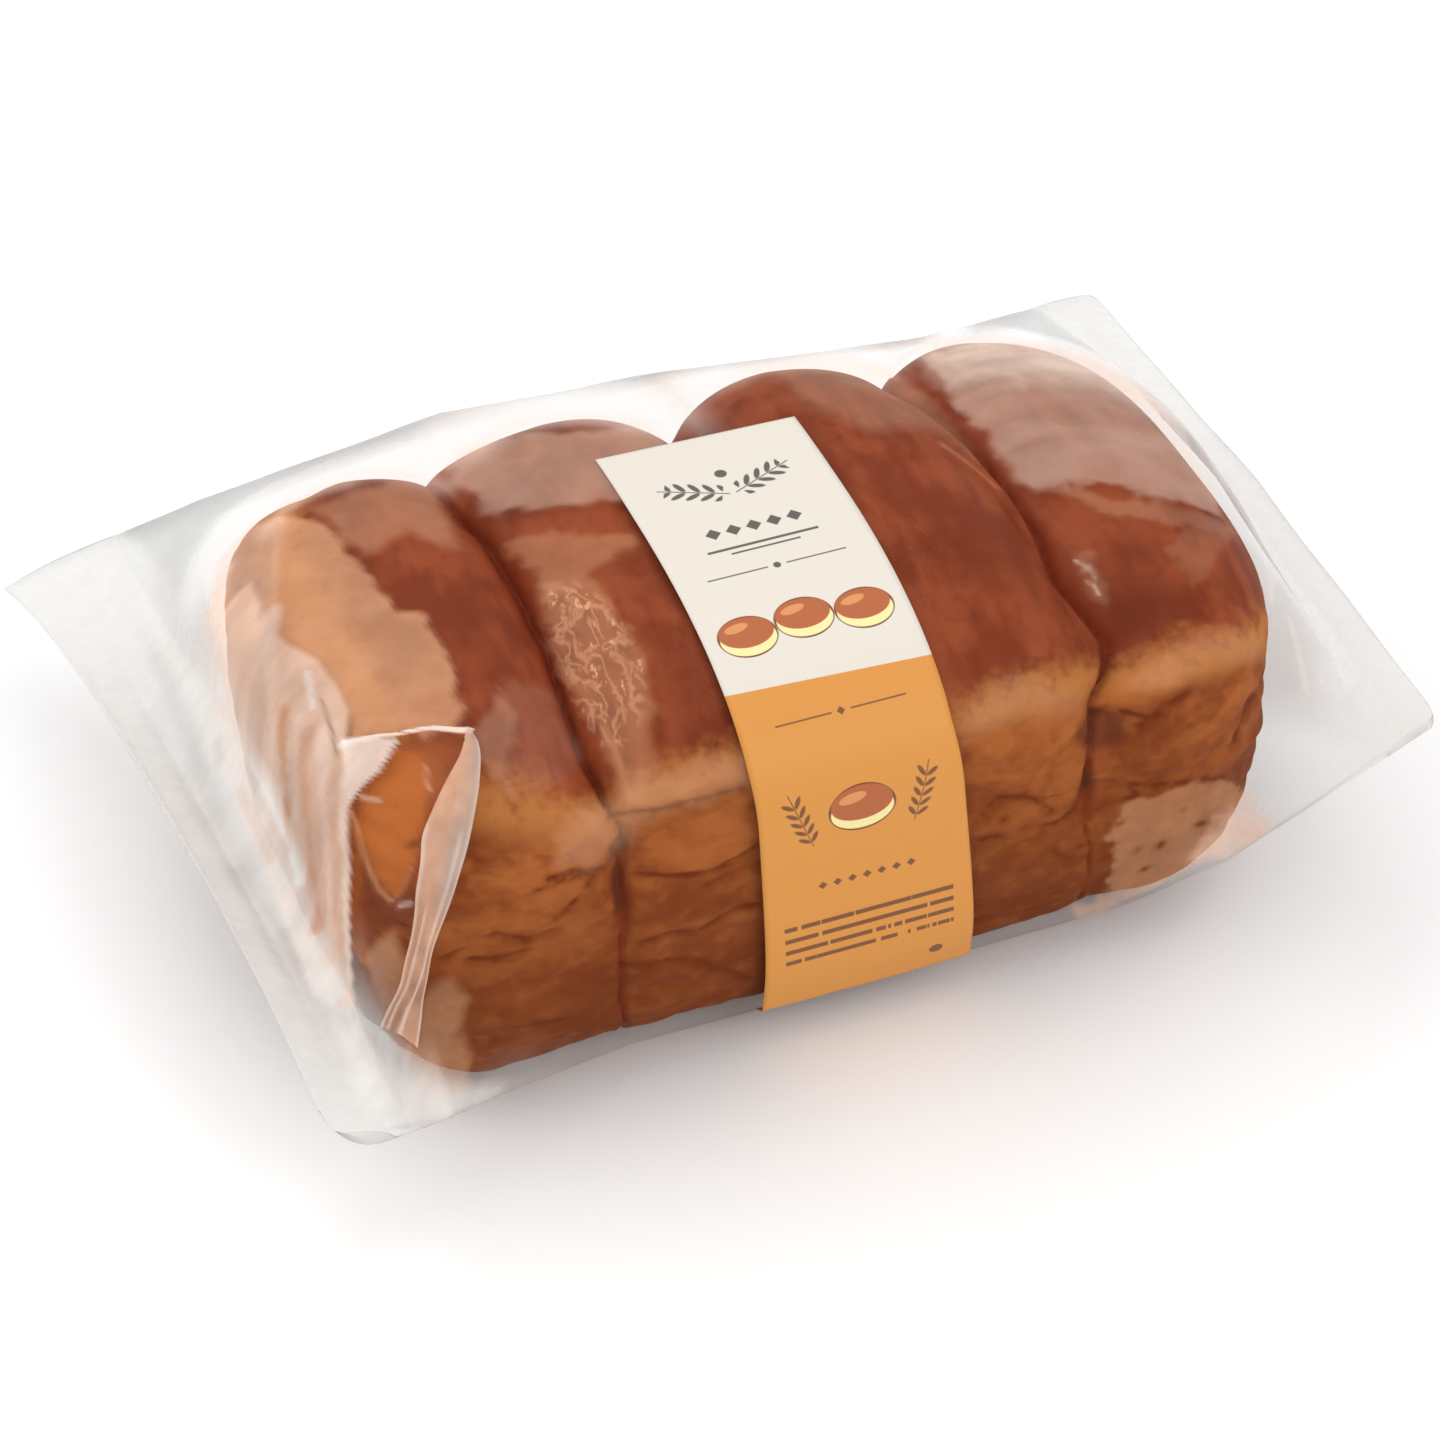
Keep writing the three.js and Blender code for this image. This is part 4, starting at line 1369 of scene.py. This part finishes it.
def crust_push(p, s, joint, marks):
    """How far each point of the loaf moves out along its normal."""
    x, z = p[..., 0], p[..., 2]
    side = side_share(marks["level"], z)
    wrinkles = rough(p, WRINKLE_REACH, 3, seed=30) * side
    pimples = spot_strength(x, s, [(place, (PIMPLE_RADIUS, PIMPLE_RADIUS), 1) for place in PIMPLES])
    held = np.array([film_dip(*row) for row in zip(x[:, 0], z)])
    held = held * lerp(1, HELD_BACK_SHARE, smooth(s, *HELD_BACK_LENGTHS) * (x < 0))
    core = np.exp(-(CREASE_SPREAD * (1 - marks["crease"])) ** 2) * smooth(z, *CREASE_FOOT_HEIGHTS)
    push = -np.maximum(joint, held - LOAF_INSET) - CREASE_DEPTH * core - PINCH_DEPTH * marks["pinch"]
    push = push - CRACK_DEPTH * marks["crack"] ** CRACK_SHARPNESS + PIMPLE_HEIGHT * pimples
    push = push + WRINKLE_DEPTH * (wrinkles - WRINKLE_SINK) * side
    push = push + SWELL * (noise(p, SWELL_REACH, seed=50) - SWELL_SINK)
    return push + spot_strength(x, s, LOBE_BULGES)


def loaf_piece():
    p = np.array([loaf_ring(x) for x in loaf_rows()])
    s = crown_lengths(p, 0)
    s = np.where(s < FOOT_LENGTH, UNDER_LENGTH, s)
    joint, crease = joint_relief(p, s)
    marks = crust_marks(p, s, crease)
    p = p + grid_normals(p, True) * crust_push(p, s, joint, marks)[..., None]
    p[..., 2] = np.maximum(p[..., 2], LOAF_INSET)
    rows, columns = p.shape[:2]
    faces = grid_faces(rows, columns)
    faces.append(list(range(columns))[::-1])
    faces.append([(rows - 1) * columns + j for j in range(columns)])
    return mesh_object("loaf", p, faces, crust_material(), marks)


# Film

def film_gap(grid, loaf):
    """Distance of each of the film's points from the loaf."""
    tree = BVHTree.FromObject(loaf, bpy.context.evaluated_depsgraph_get())
    points = (grid.reshape(-1, 3) + SHIFT) * MM
    gaps = [tree.find_nearest(Vector(p))[3] / MM for p in points]
    return np.reshape(gaps, grid.shape[:2])


def flat_share(x):
    """1 where the film lies flat beyond the loaf's ends."""
    return smooth(np.abs(x), *FLAT_ENDS)


def flat_places(x, s):
    return np.stack([x, s, 0 * x], -1)


def crinkle_mask(x, s):
    return inside_share(x, s, CRINKLE_PATCH, CRINKLE_SOFT)


def crinkle_field(x, s):
    """Worm-like crinkles of the crinkled patch, from 0 to 1."""
    lines = noise(flat_places(x, s), CRINKLE_REACH, seed=60)
    return clamp01(1 - np.abs(lines) / CRINKLE_BREADTH) ** CRINKLE_SHARPNESS * crinkle_mask(x, s)


def film_veils_and_reflections(x, s):
    """How milky, how warm and how shaded the film is, with its painted reflections and highlights."""
    flat = flat_places(x, s)
    strength = VEIL_WARP * (1 - smooth(np.abs(x), *VEIL_WARP_ENDS))
    wx = x + strength * rough(flat, VEIL_WARP_REACH, 3, seed=81)
    ws = s + strength * rough(flat, VEIL_WARP_REACH, 3, seed=82)
    ragged = strength * rough(flat, VEIL_RAGGED_REACH, 2, seed=83)
    veils_and_reflections = [(amount * inside_share(wx, ws, outline, (-soft, soft), ragged), warmth)
             for outline, amount, soft, warmth in VEILS_AND_REFLECTIONS]
    veils_and_reflections += [(amount * line_cover(x, s, path, width), warmth) for path, amount, width, warmth in FOLD_HIGHLIGHTS]
    veils_and_reflections.append((FLAT_HAZE * flat_share(x) * np.where(s == UNDER_SIDE, UNDER_SHARE, 1), 0))
    ragged = CONTACT_RAGGED * rough(flat, CONTACT_RAGGED_REACH, 3, seed=84)
    contact = inside_share(x, s, CONTACT_PATCH, CONTACT_SOFT, ragged)
    veils_and_reflections.append((CONTACT_HAZE * contact * (1 - spot_strength(x, s, CONTACT_HOLES)), 1))
    shade = np.max([amount * line_cover(x, s, path, width) for path, amount, width in SHADE_LINES], axis=0)
    clear = (1 - BASE_HAZE) * (1 - shade) * np.prod([1 - amount for amount, _ in veils_and_reflections], axis=0)
    warm = sum(amount * warmth for amount, warmth in veils_and_reflections)
    return 1 - clear, clamp01(warm / (sum(amount for amount, _ in veils_and_reflections) + NO_VEIL)), shade


def end_bands(rings, haze_and_sheen, warmth):
    """Haze, painted sheen and warmth, with the milky and painted bright bands of the loaf's left end laid
    over them.
    """
    x, y, z = np.moveaxis(rings, -1, 0)
    here = smooth(x, *BAND_STARTS) * (1 - smooth(x, *BAND_STOPS))
    y = y + BAND_WARP * noise(rings, BAND_WARP_REACH, seed=85)
    for path, band_haze_and_sheen, share, width, band_warmth in END_BANDS:
        cover = share * here * line_cover(y, z, path, width, BAND_POWER)
        haze_and_sheen = lerp(haze_and_sheen, band_haze_and_sheen, cover)
        warmth = lerp(warmth, band_warmth, cover)
    return haze_and_sheen, warmth


def film_relief(rings, s, top):
    """The film with its folds, crinkles and soft waves."""
    x, y, z = np.moveaxis(rings, -1, 0)
    body = top * (1 - smooth(np.abs(x), *RELIEF_ENDS)) * smooth(z, *RELIEF_HEIGHTS)
    folds = [height * line_cover(x, s, path, reach, 1) for path, height, reach in RAISED_FOLDS]
    waves = WAVE_HEIGHT * (1 + noise(rings, WAVE_REACH, seed=80))
    crinkles = CRINKLE_HEIGHT * crinkle_field(x, s)
    push = np.max(folds, axis=0) + waves + crinkles + spot_strength(x, s, LOBE_BULGES)
    moved = rings + grid_normals(rings, True) * (body * push)[..., None]
    flutter = noise(flat_places(x, y), FLUTTER_REACH, seed=90)
    moved[..., 2] = np.maximum(moved[..., 2] + FLUTTER_HEIGHT * flat_share(x) * flutter, 0)
    return moved


def film_marks(rings, grid, top, s, loaf):
    """The values at each point of the film from which its material makes its look."""
    x = rings[..., 0]
    haze_and_sheen, warmth, shade = film_veils_and_reflections(x, s)
    open_part = np.maximum(smooth(np.abs(x), *FREE_ENDS), smooth(s, *FREE_BACK))
    open_part = np.maximum(open_part, FREE_FRONT_SHARE * smooth(-s, *FREE_FRONT))
    gap = film_gap(grid, loaf)
    free = open_part * smooth(gap, *FREE_GAPS)
    # Painted shade: grey over the film standing off the loaf's back
    grey_shade = top * smooth(s, *FREE_BACK) * smooth(gap, *GREY_SHADE_GAPS) * (1 - flat_share(x))
    haze_and_sheen = np.max([haze_and_sheen, FREE_HAZE * top * free, GREY_SHADE_HAZE * grey_shade], axis=0)
    haze_and_sheen, warmth = end_bands(rings, haze_and_sheen, warmth * (1 - free))
    streaky_back = smooth(x, *STREAKY_X) * smooth(s, *STREAKY_LENGTHS)
    return {
        "haze_and_sheen": haze_and_sheen,
        "warmth": warmth,
        "grey_shade": grey_shade,
        "shade": shade,
        # Painted cream highlight along the ridge fold
        "line": clamp01(1 - line_distance(x, s, RIDGE_FOLD) / RIDGE_HIGHLIGHT_REACH),
        "crinkle": crinkle_mask(x, s),
        "streaky": np.maximum(STREAKY_FLAT_SHARE * flat_share(x), streaky_back),
        "sheet": np.stack([x, s, top], -1),
    }


def film_faces(rows, columns, y):
    """The film's faces, with a cap over each of its two ends; y holds each vertex's place across."""
    faces = grid_faces(rows, columns)
    for row, flip in ((0, False), (rows - 1, True)):
        under = [row * columns + j for j in range(UNDER_STEPS + 1)]
        upper = [row * columns + j % columns for j in range(columns, UNDER_STEPS - 1, -1)]
        cap = zip_faces(under, upper, y)
        faces.extend([f[::-1] for f in cap] if flip else cap)
    return faces


def film_piece(rings, loaf):
    """The film, and its top sheet as a grid of places (x, length) and a grid of points in space."""
    rows, columns = rings.shape[:2]
    top = np.broadcast_to(np.arange(columns) >= UNDER_STEPS, (rows, columns)).astype(float)
    s = np.where(top > 0, crown_lengths(rings, UNDER_STEPS), UNDER_SIDE)
    grid = film_relief(rings, s, top)
    marks = film_marks(rings, grid, top, s, loaf)
    faces = film_faces(rows, columns, grid[..., 1].ravel())
    film = mesh_object("film", grid, faces, film_material(), marks)
    return film, marks["sheet"][:, UNDER_STEPS:], grid[:, UNDER_STEPS:]


def pleat_strands(along, across):
    """Strength of the pleat's bright strands, painted highlights along its folds, at shares along and across
    it.
    """
    total = np.zeros(np.broadcast(along, across).shape)
    for path, strength, width in PLEAT_STRANDS:
        t, q = np.array(path).T
        begins = smooth(along, t[0] - STRAND_FADE_OUT, t[0] + STRAND_FADE_IN)
        ends = smooth(along, t[-1] - STRAND_FADE_IN, t[-1] + STRAND_FADE_OUT)
        cover = np.exp(-((across - np.interp(along, t, q)) / width) ** 2)
        total = np.maximum(total, strength * begins * (1 - ends) * cover)
    return total


def sheet_finder(sheet, grid):
    """A function that turns a place (x, length) on the film's top sheet into its point in space."""
    rows, columns = sheet.shape[:2]
    first = (np.arange(rows - 1)[:, None] * columns + np.arange(columns - 1)[None, :]).reshape(-1)
    corners = np.concatenate([
        np.stack([first, first + 1, first + columns + 1], -1),
        np.stack([first, first + columns + 1, first + columns], -1),
    ])
    flat = sheet.reshape(-1, 3) * [1, 1, 0]
    solid = grid.reshape(-1, 3)
    tree = BVHTree.FromPolygons(flat.tolist(), corners.tolist())

    def find(x, s):
        spot, _, face, _ = tree.find_nearest(Vector((x, s, 0)))
        a, b, c = corners[face]
        here = [Vector(v) for v in (*flat[[a, b, c]], *solid[[a, b, c]])]
        return np.array(barycentric_transform(spot, *here))

    return find


def pleat_marks(along, across, seats, strands):
    """The values at each point of the pleat from which the film's material makes its look."""
    grey_shade = smooth(across, *PLEAT_GREY_ACROSS) * (1 - smooth(along, *PLEAT_GREY_ALONG))
    opened = smooth(along, *PLEAT_OPEN_ALONG) * (1 - smooth(across, *PLEAT_OPEN_ACROSS))
    haze_and_sheen = PLEAT_HAZE * (1 - PLEAT_THINNING * smooth(along, *PLEAT_THIN_ALONG))
    haze_and_sheen = haze_and_sheen + PLEAT_RAGGED * noise(seats, PLEAT_RAGGED_REACH, seed=70)
    haze_and_sheen = haze_and_sheen * (1 - PLEAT_OPENNESS * opened) * smooth(along, 0, PLEAT_START)
    marks = {
        "haze_and_sheen": clamp01(1 - (1 - haze_and_sheen) * (1 - strands)),
        "warmth": lerp(*PLEAT_WARMTHS, grey_shade) * (1 - STRAND_COOLING * clamp01(2 * strands)),
        "shade": lerp(*PLEAT_SHADES, grey_shade),
        "sheet": seats,
    }
    return marks | {name: np.zeros(haze_and_sheen.shape) for name in ("grey_shade", "line", "crinkle", "streaky")}


def pleat_piece(sheet, grid):
    """Folded strip of film lying on the film's surface, with thick strands painted bright as highlights."""
    find = sheet_finder(sheet, grid)
    edges = rounded(PLEAT.reshape(-1, 4), PLEAT_ROUNDS)
    across = np.linspace(0, 1, PLEAT_COLUMNS)
    seats = np.array([[find(*lerp(row[:2], row[2:], share)) for share in across] for row in edges])
    out = grid_normals(seats, False)
    out = out * np.sign((out * [0, -1, 1]).sum(-1, keepdims=True))
    along = np.linspace(0, 1, len(edges))[:, None]
    across = np.broadcast_to(across, (len(edges), PLEAT_COLUMNS))
    strands = pleat_strands(along, across)
    rise = (PLEAT_LIFT + STRAND_RISE * strands)[..., None]
    inner = seats + out * (rise - PLEAT_THICKNESS)
    marks = pleat_marks(along, across, seats, strands)
    return thin_sheet("film_pleat", inner, seats + out * rise, bpy.data.materials["clear_film"], marks)


# Label

def rising(values, lengths):
    """The stretch up to a coordinate's highest value, over which it only grows."""
    stretch = slice(int(np.argmin(values)), int(np.argmax(values)) + 1)
    return values[stretch], lengths[stretch]


def label_path(x, top_y):
    """The label's path over the film at x up to top_y, and each of its points' length from the crown."""
    front, back = fold_at(FRONT_FOLD, x), fold_at(BACK_FOLD, x)
    hull = convex_hull(np.vstack([film_outline(x), front, back]))
    run = hull_run(hull, nearest_index(hull, back), nearest_index(hull, np.zeros(2)))[::-1]
    lengths = run_lengths(run)
    foot = np.interp(LABEL_BOTTOM_Z, *rising(run[:, 1], lengths))
    crown, head = np.interp([0, top_y], *rising(run[:, 0], lengths))
    places = np.linspace(foot, head, LABEL_ROWS + 1)
    return points_at(run, lengths, places), places - crown


def label_piece():
    inner, outer, prints = [], [], []
    for across in np.linspace(0, 1, LABEL_COLUMNS + 1):
        top_x = lerp(*LABEL_TOP_EDGES, across)
        bottom_x = lerp(*LABEL_BOTTOM_EDGES, across)
        path, along = label_path(top_x, lerp(*LABEL_TOP_Y, across))
        step = np.gradient(path, axis=0)
        out = np.column_stack([-step[:, 1], step[:, 0]]) / np.hypot(*step.T)[:, None]
        turn = clamp01(path[:, 1] / LABEL_TURN_HEIGHT)
        x = lerp(bottom_x, top_x, turn)
        middle = lerp(sum(LABEL_BOTTOM_EDGES), sum(LABEL_TOP_EDGES), turn) / 2
        inner.append(np.column_stack([x, path + out * LABEL_GAP]))
        outer.append(np.column_stack([x, path + out * (LABEL_GAP + LABEL_THICKNESS)]))
        prints.append(np.column_stack([x - middle, along, np.zeros(len(path))]))
    marks = {"print": np.array(prints)}
    return thin_sheet("label_sheet", np.array(inner), np.array(outer), label_material(), marks)


# Stage, light and camera

def place_object(name, data, location):
    item = bpy.data.objects.new(name, data)
    item.location = location
    bpy.context.scene.collection.objects.link(item)
    return item


def add_floor():
    mesh = bpy.data.meshes.new("floor")
    corners = [(u * FLOOR_REACH, v * FLOOR_REACH, 0) for u, v in ((-1, -1), (1, -1), (1, 1), (-1, 1))]
    mesh.from_pydata(corners, [], [(0, 1, 2, 3)])
    mesh.materials.append(floor_material())
    floor = place_object("floor", mesh, (0, 0, FLOOR_Z))


def add_light(name, place, size, power):
    light = bpy.data.lights.new(name, "AREA")
    light.shape = "RECTANGLE"
    light.size, light.size_y = size
    light.energy = power
    lamp = place_object(name, light, place)
    lamp.rotation_euler = (Vector(LIGHT_AIM) - Vector(place)).to_track_quat("-Z", "Y").to_euler()


def add_world():
    world = bpy.data.worlds.new("studio")
    world.use_nodes = True
    background = world.node_tree.nodes["Background"]
    background.inputs[0].default_value = (1, 1, 1, 1)
    background.inputs[1].default_value = WORLD_STRENGTH
    bpy.context.scene.world = world


def add_camera():
    azimuth, elevation = math.radians(CAMERA_AZIMUTH), math.radians(CAMERA_ELEVATION)
    level = math.cos(elevation)
    back = Vector((math.sin(azimuth) * level, -math.cos(azimuth) * level, math.sin(elevation)))
    target = Vector(CAMERA_TARGET) + Vector(SHIFT)
    lens = bpy.data.cameras.new("camera")
    lens.lens = CAMERA_LENS
    lens.sensor_width = CAMERA_SENSOR
    camera = place_object("camera", lens, (target + back * CAMERA_DISTANCE) * MM)
    camera.rotation_euler = back.to_track_quat("Z", "Y").to_euler()
    bpy.context.scene.camera = camera


# The pack is centred on the bag's box along X and Y
rings = film_grid()
bag_low, bag_high = (np.array(corner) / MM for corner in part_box("bag"))
SHIFT = (bag_low + bag_high) / 2 - (rings.min((0, 1)) + rings.max((0, 1))) / 2
SHIFT[2] = 0

loaf = loaf_piece()
film, sheet, film_top = film_piece(rings, loaf)
pleat = pleat_piece(sheet, film_top)
label = label_piece()
for piece, node, slot in (
    (loaf, "bag", "crust"), (film, "bag", "film"), (pleat, "bag", "film"), (label, "label", "label"),
):
    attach(piece, "root")
    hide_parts(node)

add_floor()
add_world()
for light in LIGHTS:
    add_light(*light)
add_camera()
bpy.context.scene.view_settings.view_transform = "Standard"
